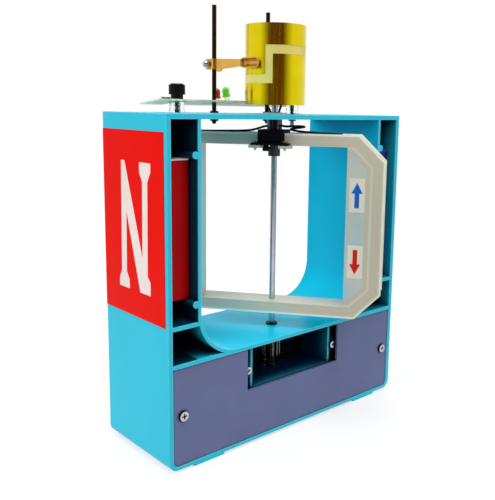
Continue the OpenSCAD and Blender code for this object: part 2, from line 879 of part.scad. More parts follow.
// a cap over the coil's top bar, with a long foot in front for the two screws
module hub_saddle() {
    outer = coil_t / 2 + saddle_t;
    color(black_plastic) at_coil()
        difference() {
            union() {
                translate([-saddle_w / 2, -outer, coil_z1]) cube([saddle_w, 2 * outer, saddle_t]);
                for (side = [0, 1])
                    mirror([0, side, 0]) translate([-saddle_w / 2, coil_t / 2, foot_z0])
                        cube([saddle_w, saddle_t, saddle_z - foot_z0]);
                translate([-saddle_l / 2, foot_y, foot_z0]) cube([saddle_l, saddle_foot, saddle_foot_t]);
            }
            bar_z(0, 0, coil_z1 - 1, saddle_z + 1, shaft_d + 2 * seat_gap);
            both_sides()
                bar_z(saddle_screw_x, saddle_screw_y, foot_z0 - 1, foot_z1 + 1, saddle_screw_d + hole_gap);
        }
}

// self-tapping screws through the saddle's foot and the bobbin's lugs, with their points below
module saddle_screws() {
    tip_z = lug_z - saddle_screw_tip;
    point_h = 1.8;
    color(steel) at_coil() both_sides() translate([saddle_screw_x, saddle_screw_y, 0]) {
        bar_z(0, 0, tip_z + point_h, foot_z1 + eps, saddle_screw_d);
        translate([0, 0, tip_z]) cylinder(h = point_h, d1 = 0.3, d2 = saddle_screw_d);
        bar_z(0, 0, foot_z1, foot_z1 + 1.4, saddle_screw_d + 1.2);
    }
}

module shaft_collar() {
    neck_h = 2.5;
    color(dark_steel) at_coil()
        difference() {
            union() {
                bar_z(0, 0, open_z1 - collar_h, open_z1 - neck_h, collar_d);
                bar_z(0, 0, open_z1 - neck_h - eps, open_z1, collar_d - 2);
            }
            bar_z(0, 0, open_z1 - collar_h - 1, open_z1 + 1, shaft_d + 2 * seat_gap);
            translate([-collar_d, 0, collar_screw_z]) rotate([0, 90, 0])
                cylinder(h = collar_d, d = collar_screw_d);
        }
}

module collar_screw() {
    head_l = 3.6;
    head_d = 4.2;
    shank_d = collar_screw_d - 2 * seat_gap;
    color(black_plastic) at_coil() translate([-collar_d / 2, 0, collar_screw_z]) rotate([0, 90, 0])
        difference() {
            union() {
                bar_z(0, 0, -eps, collar_d / 2 - shaft_d / 2 - seat_gap, shank_d);
                bar_z(0, 0, -head_l, -seat_gap, head_d);
            }
            translate([0, 0, -head_l - 1]) cylinder(h = 2.6, d = 2.3, $fn = 6);
        }
}

module coil_core() {
    inner_chamfer = seat_chamfer - core_t * (2 - sqrt(2));
    color(milky) at_coil()
        difference() {
            slab_y(-core_y, core_y) octagon(seat_half, seat_z0, seat_z1, seat_chamfer);
            translate([-open_half, -coil_t, open_z0]) cube([2 * open_half, 2 * coil_t, open_z1 - open_z0]);
            both_sides() intersection() {
                slab_y(-coil_t, coil_t)
                    octagon(seat_half - core_t, seat_z0 + core_t, seat_z1 - core_t, inner_chamfer);
                translate([open_half + core_t, -coil_t, coil_z0])
                    cube([coil_side, 2 * coil_t, coil_z1 - coil_z0]);
            }
            bar_z(0, 0, coil_z0, coil_z1, shaft_d + 2 * seat_gap);
        }
}

// a bobbin flange from y0 to y1
module coil_flange(y0, y1) {
    difference() {
        slab_y(y0, y1) octagon(coil_half, coil_z0, coil_z1, coil_chamfer);
        translate([-open_half, y0 - 1, open_z0]) cube([2 * open_half, y1 - y0 + 2, open_z1 - open_z0]);
    }
}

// the front flange, with two lugs below its top bar for the saddle's screws
module coil_flange_front() {
    lug_y = foot_y + 0.4;
    color(milky) at_coil() {
        coil_flange(-coil_t / 2, -core_y);
        both_sides() difference() {
            union() {
                translate([saddle_screw_x - lug_w / 2, lug_y, lug_z])
                    cube([lug_w, -core_y - lug_y, lug_t - seat_gap]);
                translate([saddle_screw_x - lug_w / 2, -coil_t / 2, lug_z])
                    cube([lug_w, flange_t, lug_t + eps]);
            }
            bar_z(saddle_screw_x, saddle_screw_y, lug_z - 1, foot_z0 + 1, saddle_screw_d + 2 * seat_gap);
        }
    }
}

module coil_flange_rear() {
    color(milky) at_coil() coil_flange(core_y, coil_t / 2);
}

// the taped winding in the groove, parted round the shaft
module coil_winding() {
    half_y = core_y - seat_gap;
    outer_chamfer = coil_chamfer - winding_in * (2 - sqrt(2));
    color([0.8, 0.72, 0.55]) at_coil()
        difference() {
            slab_y(-half_y, half_y)
                octagon(coil_half - winding_in, coil_z0 + winding_in, coil_z1 - winding_in, outer_chamfer);
            slab_y(-coil_t, coil_t)
                octagon(seat_half + seat_gap, seat_z0 - seat_gap, seat_z1 + seat_gap, seat_chamfer);
            translate([-shaft_d, -shaft_space, seat_z1 - 1]) cube([2 * shaft_d, 2 * shaft_space, coil_bar]);
            translate([-shaft_d, -shaft_space, coil_z0]) cube([2 * shaft_d, 2 * shaft_space, coil_bar]);
        }
}

module arrow_sticker(z) {
    translate([sticker_x - sticker_w / 2, label_face - sticker_t, z])
        cube([sticker_w, sticker_t, sticker_h]);
}

module arrow_label_up() {
    color(cream) at_coil() arrow_sticker(coil_mid + sticker_gap);
}

module arrow_label_down() {
    color(cream) at_coil() arrow_sticker(coil_mid - sticker_gap - sticker_h);
}

// Leads

// a point on the smooth curve through p, a share t of the way from point i to the next
function last(p) = len(p) - 1;
function near(p, i) = p[max(0, min(last(p), i))];
function curve_point(p, i, t) =
    let (a = near(p, i - 1), b = near(p, i), c = near(p, i + 1), d = near(p, i + 2))
    0.5 * (2 * b + (c - a) * t + (2 * a - 5 * b + 4 * c - d) * t * t + (3 * b - a - 3 * c + d) * t * t * t);
function curve_points(p, steps) =
    [for (i = [0 : last(p) - 1], k = [0 : steps - 1]) curve_point(p, i, k / steps), p[last(p)]];
function unit(v) = v / norm(v);
function tangent(p, i) = unit(near(p, i + 1) - near(p, i - 1));

// a tube of few sides, swept along the points
module lead(points) {
    path = curve_points(points, lead_steps);
    count = len(path);
    rings = [for (i = [0 : count - 1])
        let (t = tangent(path, i), side = unit(cross(t, [0, 1, 0])), up = cross(side, t))
        for (k = [0 : lead_sides - 1])
            let (a = 360 * k / lead_sides)
            path[i] + lead_d / 2 * (cos(a) * side + sin(a) * up)];
    walls = [for (i = [0 : count - 2], k = [0 : lead_sides - 1])
        let (a = i * lead_sides + k, b = i * lead_sides + (k + 1) % lead_sides)
        each [[a, b, a + lead_sides], [b, b + lead_sides, a + lead_sides]]];
    first = [for (k = [1 : lead_sides - 2]) [0, k + 1, k]];
    start = (count - 1) * lead_sides;
    end = [for (k = [1 : lead_sides - 2]) [start, start + k, start + k + 1]];
    polyhedron(rings, concat(walls, first, end));
}

module lead_wire_left() {
    color(black_plastic) at_coil() translate([0, 0, coil_z1]) lead(lead_left_points);
}

module lead_wire_right() {
    color(black_plastic) at_coil() translate([0, 0, coil_z1]) lead(lead_right_points);
}

// Commutator

// a shell of the commutator from z0 to z1
module shell(z0, z1, r_in, r_out) {
    difference() {
        bar_z(0, 0, z0, z1, 2 * r_out);
        bar_z(0, 0, z0 - 1, z1 + 1, 2 * r_in);
    }
}

// the part of a shell on one side of the upright slits: side is -1 or 1, from the distance x on
module shell_side(side, x, z0, z1, r_in, r_out) {
    intersection() {
        shell(z0, z1, r_in, r_out);
        translate([side > 0 ? x : -comm_d - x, -comm_d, z0 - 1]) cube([comm_d, 2 * comm_d, z1 - z0 + 2]);
    }
}

module commutator_core() {
    inner_r = comm_core_r - 3;
    fill_r = comm_r - slit_depth;
    lap = comm_core_r - 1;
    color(cream) at_coil()
        difference() {
            union() {
                difference() {
                    bar_z(0, 0, web_z, comm_z1 - 0.8, 2 * comm_core_r);
                    bar_z(0, 0, web_z + 3, comm_z1 - 4, 2 * inner_r);
                    for (turn = [45 : 90 : 315])
                        rotate([0, 0, turn]) bar_z(comm_r / 2, 0, web_z - 1, web_z + 4, 6);
                }
                bar_z(0, 0, web_z, comm_z1 - 1, comm_boss_d);
                shell_side(-1, -slit_w / 2, split_z0, split_z0 + slit_h, lap, fill_r);
                shell_side(1, -slit_w / 2, split_z1 - slit_h, split_z1, lap, fill_r);
                intersection() {
                    shell(split_z0, split_z1, lap, fill_r);
                    translate([-slit_w / 2, -comm_d, split_z0])
                        cube([slit_w, 2 * comm_d, split_z1 - split_z0]);
                }
            }
            bar_z(0, 0, web_z - 1, shaft_z1, shaft_d + 2 * seat_gap);
        }
}

module commutator_upper() {
    inner_r = comm_r - brass_t;
    color(brass_yellow) at_coil() {
        shell(split_z1, comm_z1, inner_r, comm_r);
        shell_side(-1, slit_w / 2, split_z0 + slit_h, split_z1 + eps, inner_r, comm_r);
    }
}

module commutator_lower() {
    inner_r = comm_r - brass_t;
    color(brass_yellow) at_coil() {
        shell(comm_z0, split_z0, inner_r, comm_r);
        shell_side(1, slit_w / 2, split_z0 - eps, split_z1 - slit_h, inner_r, comm_r);
    }
}

// Hand drive

module drive_pinion() {
    root = 0.75 * gear_m;
    tip = 0.3 * gear_m;
    r0 = pinion_r - dedendum;
    r1 = pinion_r + addendum;
    color(steel) at_axis()
        difference() {
            union() {
                translate([0, 0, pinion_z]) linear_extrude(pinion_h) {
                    circle(r0);
                    for (i = [0 : pinion_teeth - 1])
                        rotate(90 + 360 * i / pinion_teeth)
                            polygon([[r0 - 1, -root], [r0, -root], [r1, -tip],
                                [r1, tip], [r0, root], [r0 - 1, root]]);
                }
                translate([0, 0, hub_z])
                    cylinder(h = pinion_z - hub_z + eps, d = shaft_d + 2.4);
            }
            bar_z(0, 0, hub_z - 1, pinion_top + 1, shaft_d + 2 * seat_gap);
        }
}

module crown_wheel() {
    root = 0.6 * gear_m;
    tip = 0.35 * gear_m;
    tooth_h = addendum + dedendum;
    rim_r = crown_r + crown_face / 2;
    hub_l = crank_bush_y - play - crown_y;
    color([0.9, 0.88, 0.82]) at_crank() translate([0, crown_y, 0]) rotate([90, 0, 0])
        difference() {
            union() {
                bar_z(0, 0, -crown_t, 0, 2 * rim_r);
                bar_z(0, 0, -hub_l, -crown_t + eps, crank_d + 8);
                for (i = [0 : crown_teeth - 1])
                    rotate(90 + 360 * (i + 0.5) / crown_teeth) slab_x(crown_r - crown_face / 2, rim_r - 0.05)
                        polygon([[-root, -eps], [root, -eps], [root, 0],
                            [tip, tooth_h], [-tip, tooth_h], [-root, 0]]);
            }
            bar_z(0, 0, -hub_l - 1, 1, crank_d + 2 * seat_gap);
        }
}

module crank_shaft() {
    color(steel) at_crank()
        difference() {
            bar_y(0, 0, crown_y, arm_back, crank_d);
            bar_y(0, 0, arm_back - crank_screw_l - 1, arm_back + 1, crank_screw_d + 2 * seat_gap);
        }
}

// the arm hangs straight down at rest
module crank_arm() {
    hub_d = crank_d + 2 * crank_hub_wall;
    color(black_plastic) at_crank()
        difference() {
            union() {
                bar_y(0, 0, arm_y, arm_back, hub_d);
                bar_y(0, -crank_r, arm_back - crank_t, arm_back, crank_w);
                translate([-crank_w / 2, arm_back - crank_t, -crank_r]) cube([crank_w, crank_t, crank_r]);
            }
            bar_y(0, 0, arm_y - 1, arm_back + 1, crank_d + 2 * seat_gap);
            bar_y(0, -crank_r, arm_y - 1, arm_back + 1, crank_pin_d + 2 * seat_gap);
        }
}

module crank_screw() {
    color(steel) at_crank() {
        bar_y(0, 0, arm_back - crank_screw_l, arm_back + eps, crank_screw_d);
        bar_y(0, 0, arm_back, arm_back + 2, crank_d + 3);
    }
}

module crank_pin() {
    color(steel) at_crank() {
        bar_y(0, -crank_r, arm_back - crank_t, knob_end + play + eps, crank_pin_d);
        bar_y(0, -crank_r, knob_end + play, knob_end + play + pin_head_h, pin_head_d);
    }
}

module crank_knob() {
    r = crank_knob_d / 2;
    bore_r = crank_pin_d / 2 + run_gap;
    edge = 1.5;
    color(black_plastic) at_crank() translate([0, knob_y, -crank_r]) rotate([-90, 0, 0])
        rotate_extrude()
            polygon([[bore_r, 0], [r - 1 - edge / 2, 0], [r - 1, edge], [r, crank_knob_l / 2],
                [r - 1, crank_knob_l - edge], [r - 1 - edge / 2, crank_knob_l], [bore_r, crank_knob_l]]);
}

// Brushes: the left one is drawn, in the frame of its rod at the brush's height

module at_left_brush() {
    translate([-rod_x, rod_y, brush_z]) children();
}

// half of a round trough along Y, open to the outside, from radius r0 at y0 to r1 at y1
module trough(y0, y1, r0, r1) {
    intersection() {
        difference() {
            translate([0, y1, 0]) rotate([90, 0, 0]) cylinder(h = y1 - y0, r1 = r1, r2 = r0);
            translate([0, y1 + 0.01, 0]) rotate([90, 0, 0])
                cylinder(h = y1 - y0 + 0.02, r1 = r1 - strip_t, r2 = r0 - strip_t);
        }
        translate([-strip_t / 2, y0 - 1, -trough_d]) cube([trough_d, y1 - y0 + 2, 2 * trough_d]);
    }
}

// a brush strip whose trough reaches past the commutator's middle by over
module brush_arm(over) {
    r = trough_d / 2;
    neck_r = 0.66 * r;
    strip_far = rod_y - axis_y + over - trough_l;
    neck_y = -strip_far + trough_taper;
    half = strip_h / 2;
    tab = half + 1.6;
    difference() {
        union() {
            bar_z(0, 0, -half, half, eye_d);
            slab_x(-strip_t / 2, strip_t / 2)
                polygon([[-rod_d / 2, half], [neck_y - 1, neck_r], [neck_y - 1, -neck_r], [-9, -half],
                    [-7, -tab], [-3.5, -tab], [-2.5, -half], [-rod_d / 2, -half]]);
            trough(-strip_far, neck_y, r, neck_r);
            trough(-strip_far - trough_l, -strip_far + 0.01, r, r);
            for (side = [0, 1])
                mirror([side, 0, 0]) translate([clip_x, 0.6, -half])
                    cube([strip_t, clip_y + 2.4 - 0.6, strip_h]);
        }
        bar_z(0, 0, -tab - 1, half + 1, rod_d + 2 * run_gap);
        translate([-clip_x, 0, -half - 1]) cube([2 * clip_x, eye_d, strip_h + 2]);
        translate([-clip_out - 1, clip_y, 0]) rotate([0, 90, 0])
            cylinder(h = 2 * clip_out + 2, d = clamp_d + 2 * seat_gap);
    }
}

module clamp_screw() {
    translate([0, clip_y, 0]) rotate([0, 90, 0]) {
        bar_z(0, 0, -clip_out - 1.6, clip_out + eps, clamp_d);
        bar_z(0, 0, clip_out, clip_out + 1.2, clamp_d + 2);
    }
}

// a cap nut on the outer side: a hexagon and a dome
module clamp_nut() {
    hex_h = 1.8;
    across = clamp_d + 2.8;
    translate([-clip_out, clip_y, 0]) rotate([0, -90, 0])
        difference() {
            union() {
                cylinder(h = hex_h, d = across / cos(30), $fn = 6);
                intersection() {
                    translate([0, 0, hex_h]) sphere(d = across);
                    cylinder(h = hex_h + across, d = across);
                }
            }
            translate([0, 0, -1]) cylinder(h = 2.8, d = clamp_d + 2 * seat_gap);
        }
}

module brush_arm_left() {
    color(brass_orange) at_left_brush() brush_arm(left_over);
}

module clamp_screw_left() {
    color(steel) at_left_brush() clamp_screw();
}

module clamp_nut_left() {
    color(steel) at_left_brush() clamp_nut();
}

module brush_arm_right() {
    color(brass_orange) mirror([1, 0, 0]) at_left_brush() brush_arm(right_over);
}

module clamp_screw_right() {
    color(steel) mirror([1, 0, 0]) at_left_brush() clamp_screw();
}

module clamp_nut_right() {
    color(steel) mirror([1, 0, 0]) at_left_brush() clamp_nut();
}

// Binding-post knobs: the right one is drawn

module post_insert() {
    translate([post_x, post_y, 0])
        difference() {
            bar_z(0, 0, knob_z, insert_top, insert_d);
            bar_z(0, 0, knob_z - 1, insert_top + 1, stud_d + 2 * run_gap);
        }
}

module post_knob() {
    flutes = 16;
    head_z = knob_z + knob_neck_h;
    translate([post_x, post_y, 0])
        difference() {
            union() {
                bar_z(0, 0, knob_z, head_z + eps, knob_neck_d);
                translate([0, 0, head_z]) linear_extrude(knob_h - 0.8) difference() {
                    circle(d = knob_d);
                    for (i = [0 : flutes - 1])
                        rotate(360 * i / flutes) translate([knob_d / 2 + 0.35, 0]) circle(d = 1.4);
                }
                translate([0, 0, knob_top - 0.8 - eps])
                    cylinder(h = 0.8 + eps, d1 = knob_d - 1, d2 = knob_d - 2.4);
            }
            bar_z(0, 0, knob_z - 1, insert_top + run_gap, insert_d + 2 * run_gap);
        }
}

module post_insert_left() {
    color(brass_yellow) mirror([1, 0, 0]) post_insert();
}

module post_knob_left() {
    color(black_plastic) mirror([1, 0, 0]) post_knob();
}

module post_insert_right() {
    color(brass_yellow) post_insert();
}

module post_knob_right() {
    color(black_plastic) post_knob();
}

main_frame();
front_panel();
panel_screws();
gear_bracket();
bracket_screws();
pole_label_n();
pole_label_s();
magnet_n();
magnet_s();
top_bush();
floor_bush();
pivot_bush();
crank_bush();
brush_rod_left();
brush_rod_right();
rod_nuts();
post_insulators();
post_studs();
post_nuts();
led_board();
led_red();
led_green();
board_resistor();
rotor_shaft();
rotor_sleeve();
hub_saddle();
saddle_screws();
shaft_collar();
collar_screw();
coil_core();
coil_flange_front();
coil_flange_rear();
coil_winding();
lead_wire_left();
lead_wire_right();
arrow_label_up();
arrow_label_down();
commutator_core();
commutator_upper();
commutator_lower();
drive_pinion();
crown_wheel();
crank_shaft();
crank_arm();
crank_screw();
crank_pin();
crank_knob();
brush_arm_left();
clamp_screw_left();
clamp_nut_left();
brush_arm_right();
clamp_screw_right();
clamp_nut_right();
post_insert_left();
post_knob_left();
post_insert_right();
post_knob_right();
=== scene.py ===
"""Looks of a classroom generator demonstrator: its finishes, pole letters, arrows, threads and studio.

Laid out as an add-on and run as a script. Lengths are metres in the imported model's own frame.
"""

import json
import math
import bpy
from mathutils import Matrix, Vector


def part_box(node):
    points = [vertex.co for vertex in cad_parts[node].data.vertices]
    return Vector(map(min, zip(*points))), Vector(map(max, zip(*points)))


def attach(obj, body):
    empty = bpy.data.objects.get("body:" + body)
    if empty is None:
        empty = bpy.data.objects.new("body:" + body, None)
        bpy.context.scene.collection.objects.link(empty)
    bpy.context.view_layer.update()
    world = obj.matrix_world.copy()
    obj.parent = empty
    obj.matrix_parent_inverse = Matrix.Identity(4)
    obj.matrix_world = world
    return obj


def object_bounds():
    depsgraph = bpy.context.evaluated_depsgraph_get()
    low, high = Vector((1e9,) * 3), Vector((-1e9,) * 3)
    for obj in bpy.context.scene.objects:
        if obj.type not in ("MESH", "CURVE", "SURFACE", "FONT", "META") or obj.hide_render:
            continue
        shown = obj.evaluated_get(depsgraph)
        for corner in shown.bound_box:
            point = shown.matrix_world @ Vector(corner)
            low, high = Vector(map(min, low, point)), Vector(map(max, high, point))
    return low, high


bl_info = {
    "name": "Generator demonstrator looks",
    "version": (1, 0, 0),
    "blender": (4, 5, 0),
    "location": "View3D > Sidebar > Generator",
    "description": "Finishes, marks and studio of a classroom generator demonstrator",
    "category": "Object",
}

import bmesh
import bpy
from bpy.props import FloatProperty, FloatVectorProperty, IntProperty, PointerProperty
from bpy.types import NodeSocket, Operator, Panel, PropertyGroup
from mathutils import Matrix, Vector

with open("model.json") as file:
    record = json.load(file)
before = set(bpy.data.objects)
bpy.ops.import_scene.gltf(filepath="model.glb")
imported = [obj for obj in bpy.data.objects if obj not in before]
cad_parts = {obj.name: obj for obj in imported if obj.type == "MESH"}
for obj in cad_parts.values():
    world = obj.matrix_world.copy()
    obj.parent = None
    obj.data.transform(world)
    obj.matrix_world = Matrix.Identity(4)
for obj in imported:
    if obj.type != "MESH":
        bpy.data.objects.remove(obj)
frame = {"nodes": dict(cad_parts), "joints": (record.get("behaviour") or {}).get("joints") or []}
cad_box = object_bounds()
MM = 0.001

# Places read from the frame
AXIS = Vector(next(j["pos_m"] for j in frame["joints"] if j["name"] == "rotor_spin"))
FLANGE_LOW, FLANGE_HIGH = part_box("coil_flange_front")
COIL_MID_Z = (FLANGE_LOW.z + FLANGE_HIGH.z) / 2

# Distances from the body's outer faces to where its hollows are taken to begin or end
FRONT_SKIN = 0.3 * MM
BACK_SKIN = 0.5 * MM
TOP_SKIN = 0.5 * MM
WALL = 2.9 * MM
CELL_SIDE = 21.1 * MM
CHANNEL_SIDE = 22.9 * MM
CELL_FLOOR = 60 * MM
PANEL_ROOM = 6 * MM
BASE_FLOOR = 10 * MM
BASE_TOP = 64.5 * MM
DECK = 66.4 * MM

# The gear bracket's well, the room round it, and the outer faces where the bracket's ears, and the painted
# shade on them, begin
WELL_HALF = 34.6 * MM
WELL_ROOM = 1 * MM
BRACKET_OUTER = 36.1 * MM

# Places of the body, each from and to: across, back from the front, and up; painted shade darkens the cells,
# the base and the gear well, and the coil channel takes painted bounce light
BODY_LOW, BODY_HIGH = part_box("main_frame")
BRACKET_LOW, BRACKET_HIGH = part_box("gear_bracket")
INSIDE_Y = (BODY_LOW.y + FRONT_SKIN, BODY_HIGH.y - BACK_SKIN)
CELL_Z = (BODY_LOW.z + CELL_FLOOR, BODY_HIGH.z - TOP_SKIN)
LEFT_CELLS = ((BODY_LOW.x + WALL, BODY_LOW.x + CELL_SIDE), INSIDE_Y, CELL_Z)
RIGHT_CELLS = ((BODY_HIGH.x - CELL_SIDE, BODY_HIGH.x - WALL), INSIDE_Y, CELL_Z)
BASE_INSIDE = (
    (BODY_LOW.x + WALL, BODY_HIGH.x - WALL), (BODY_LOW.y + PANEL_ROOM, INSIDE_Y[1]),
    (BODY_LOW.z + BASE_FLOOR, BODY_LOW.z + BASE_TOP))
GEAR_WELL = (
    (-WELL_HALF, WELL_HALF), (BRACKET_LOW.y + FRONT_SKIN, BRACKET_HIGH.y + WELL_ROOM),
    (BRACKET_LOW.z - WELL_ROOM, BRACKET_HIGH.z + WELL_ROOM))
COIL_CHANNEL = (
    (BODY_LOW.x + CHANNEL_SIDE, BODY_HIGH.x - CHANNEL_SIDE), INSIDE_Y,
    (BODY_LOW.z + DECK, BODY_HIGH.z - WALL))

# Body's painted shade: light that hollows lose when shut in or half open, and their reach; and the rise over
# the deck in which the deck's painted light gives way to the walls' painted bounce light
SHUT_IN = 0.93
HALF_OPEN = 0.4
HOLLOW_REACH = 45 * MM
DECK_RISE = 22 * MM

# Scales of the fine lines on metal: drawn along Z, turned about Z, rolled along Y, or even
DRAWN = (900.0, 900.0, 40.0)
TURNED = (40.0, 40.0, 900.0)
ROLLED = (900.0, 40.0, 900.0)
EVEN = (300.0, 300.0, 300.0)

# Painted highlight along the magnets' upper edges, and the lap of the winding's tape
MAGNET_HIGHLIGHT = 0.9 * MM
TAPE_LAP = 9 * MM

# Bobbin's flange: half its width, its corner cut, where its web begins, and depths in from its edge; the
# first pair fades the painted highlight along that edge
BOBBIN_HALF = 74.5 * MM
BOBBIN_CORNER = 17 * MM
WEB_START = 50 * MM
RIM_HIGHLIGHT_FADE = (0.8 * MM, 1.7 * MM)
STEP_DEPTH = 8.6 * MM
WOUND_FADE = (11.6 * MM, 12.6 * MM)

# Feet of the lamps on the board, and half the step between a lamp's legs
LAMP_FEET = [Vector((x * MM, 30 * MM, 216.6 * MM)) for x in (-17.6, -8.5)]
LEG_STEP = Vector((1.27 * MM, 0.0, 0.0))

# Starts of the threads above the lower ends of the rods and studs
ROD_POINT = 1.1 * MM
STUD_END = 0.2 * MM

# Height of the N's outline, in millimetres
OUTLINE_HEIGHT = 77.0

# Floor: its size, its gap under the object, and the distances where it fades to white
FLOOR_SIZE = 6.0
FLOOR_GAP = 0.2 * MM
FLOOR_FADE = (0.25, 0.75)

# Dark card: distance, half its arc, turn from the camera, heights of its edges, steps, fade and colours
CARD_RADIUS = 0.8
CARD_REACH = math.radians(60.0)
CARD_TURN = math.radians(3.0)
CARD_Z = (0.05, 0.75)
CARD_STEPS = 24
CARD_FADE = (0.37, 0.80)
CARD_DARK = (0.115, 0.04, 0.01, 1.0)
CARD_PALE = (0.95, 0.95, 0.95, 1.0)


def screen_colour(red, green, blue):
    """A colour as a screen shows it, 0 to 255, made the linear colour that a shader takes."""
    def linear(value):
        share = value / 255
        return share / 12.92 if share <= 0.04045 else ((share + 0.055) / 1.055) ** 2.4
    return (linear(red), linear(green), linear(blue), 1.0)


def scaled(colour, factor):
    """The colour made lighter or darker by a factor."""
    return tuple(min(1.0, part * factor) for part in colour[:3]) + (1.0,)


def colour_setting(name, words, red, green, blue):
    """A colour that a user may change."""
    return FloatVectorProperty(
        name=name, description=words, subtype="COLOR", size=4, min=0.0, max=1.0,
        default=screen_colour(red, green, blue))


def length_setting(name, words, millimetres):
    """A length that a user may change."""
    return FloatProperty(name=name, description=words, unit="LENGTH", min=0.0, default=millimetres * MM)


def angle_setting(name, words, degrees):
    """An angle that a user may change."""
    return FloatProperty(name=name, description=words, subtype="ANGLE", default=math.radians(degrees))


def number_setting(name, words, value):
    """A plain number that a user may change."""
    return FloatProperty(name=name, description=words, default=value)


# Settings

class FinishSettings(PropertyGroup):
    """Colours of the finishes."""
    body: colour_setting("Body", "Moulded frame and gear bracket", 48, 202, 230)
    # Painted bounce light: a stronger blue on the walls beside the coil, and a lighter one on the deck under
    # it
    body_inner_bounce: colour_setting("Inner body", "Moulding beside the coil", 16, 188, 224)
    body_deck_light: colour_setting("Deck", "Moulding under the coil", 6, 218, 250)
    # Painted highlight along the body's sharp edges
    body_edge_highlight: colour_setting("Body edges", "Moulding along its worn edges", 150, 222, 238)
    # Painted shade deep in the body's hollows, also mixed faintly into its random clouds
    body_shade: colour_setting("Deep body", "Moulding deep in its recesses", 2, 28, 62)
    panel: colour_setting("Panel", "Front panel", 106, 115, 155)
    north: colour_setting("North plate", "Plate on the north pole's side", 238, 16, 4)
    south: colour_setting("South plate", "Plate on the south pole's side", 24, 52, 168)
    north_magnet: colour_setting("North magnet", "Paint of the north magnet", 190, 4, 10)
    south_magnet: colour_setting("South magnet", "Paint of the south magnet", 84, 64, 156)
    letter: colour_setting("Letter", "Pole letters", 244, 230, 225)
    bobbin: colour_setting("Bobbin", "Milky bobbin plastic", 226, 226, 211)
    # Painted reflection of the blue frame in the milky plastic
    bobbin_frame_reflection: colour_setting("Cool bobbin", "Milky plastic where it is thin", 186, 212, 213)
    tape: colour_setting("Tape", "Tape round the winding", 220, 212, 190)
    sticker: colour_setting("Sticker", "Paper under the arrows", 246, 240, 224)
    arrow_up: colour_setting("Up arrow", "Arrow for one current direction", 32, 112, 206)
    arrow_down: colour_setting("Down arrow", "Arrow for the other current direction", 226, 44, 26)
    ring_brass: colour_setting("Commutator brass", "Rings and tongues of the commutator", 226, 206, 16)
    strip_brass: colour_setting("Brush brass", "Brush strips", 228, 178, 84)
    bush_brass: colour_setting("Bush brass", "Bearings and inserts", 214, 176, 96)
    cream: colour_setting("Core", "Commutator core", 236, 221, 126)
    steel: colour_setting("Steel", "Screws, nuts and studs", 206, 206, 208)
    shaft: colour_setting("Shaft", "Rotor shaft", 190, 195, 199)
    sleeve: colour_setting("Sleeve", "Tube over the rotor shaft, collar and lower bush", 74, 76, 80)
    nylon: colour_setting("Nylon", "Upper bush", 226, 232, 232)
    dark_steel: colour_setting("Dark steel", "Brush rods and their nuts", 62, 49, 26)
    black: colour_setting("Black", "Black mouldings", 9, 9, 12)
    board: colour_setting("Board", "Thin lamp board", 226, 222, 198)
    green_lamp: colour_setting("Green lamp", "Tinted lamp", 112, 232, 56)
    red_lamp: colour_setting("Red lamp", "Tinted lamp", 214, 44, 34)
    # Painted highlight along the north magnet's upper edge
    magnet_highlight: colour_setting("Magnet line", "Line along the north magnet's upper edge", 255, 242, 242)
    clear: colour_setting("Clear", "Clear insulators", 244, 250, 250)
    tracks: colour_setting("Tracks", "Tracks on the lamp board", 96, 170, 110)
    lacquer: colour_setting("Lacquer", "Resistor", 52, 116, 62)


class MarkSettings(PropertyGroup):
    """Sizes of the letters and arrows."""
    letter_height: length_setting("Letter height", "Height of the pole letters", 77)
    letter_z: length_setting("Letter place", "Height of the letters' feet above the floor", 105)
    letter_stroke: length_setting("Stroke", "Width of the round letter's stroke", 7.5)
    ink: length_setting("Ink", "Thickness of the letters and arrows", 0.06)
    arrow_height: length_setting("Arrow height", "Height of the arrows", 16.5)
    arrow_width: length_setting("Arrow width", "Width of the arrow heads", 7.2)
    coil_turn: angle_setting("Coil turn", "Turn of the coil at rest, from the body's width", 53.5)


class ThreadSettings(PropertyGroup):
    """Sizes of the screw threads and solder joints."""
    pitch: length_setting("Pitch", "Pitch of the threads", 0.5)
    ridge: length_setting("Ridge", "Radius of the thread's ridge", 0.14)
    rod_turns: IntProperty(name="Rod turns", description="Turns below the rod nuts", min=1, default=3)
    stud_turns: IntProperty(name="Stud turns", description="Turns below the stud nuts", min=1, default=6)
    solder: length_setting("Solder", "Radius of a solder joint", 0.95)


class StudioSettings(PropertyGroup):
    """Camera and light."""
    eye: FloatVectorProperty(
        name="Camera", description="Place of the camera", subtype="TRANSLATION", unit="LENGTH",
        default=(-0.30485, -0.35414, 0.21436))
    turn: angle_setting("Turn", "Direction of view, from the back towards the right", 43.38)
    dip: angle_setting("Dip", "Downward slope of the view", 9.38)
    roll: angle_setting("Roll", "Roll of the camera", 1.16)
    lens: number_setting("Lens", "Focal length in millimetres", 49.5)
    shift_x: number_setting("Shift across", "Sideways shift of the frame", -0.0948)
    shift_y: number_setting("Shift up", "Upward shift of the frame", -0.0572)
    key: number_setting("Key", "Power of the main light in watts", 15.5)
    fill: number_setting("Fill", "Power of the fill light in watts", 8.5)
    top: number_setting("Top", "Power of the overhead light in watts", 11.5)
    front: number_setting("Front", "Power of the light near the camera in watts", 7.0)
    back: number_setting("Back", "Power of the light behind the object in watts", 6.5)
    ambient: number_setting("Ambient", "Strength of the light from all round", 0.12)


# Finishes

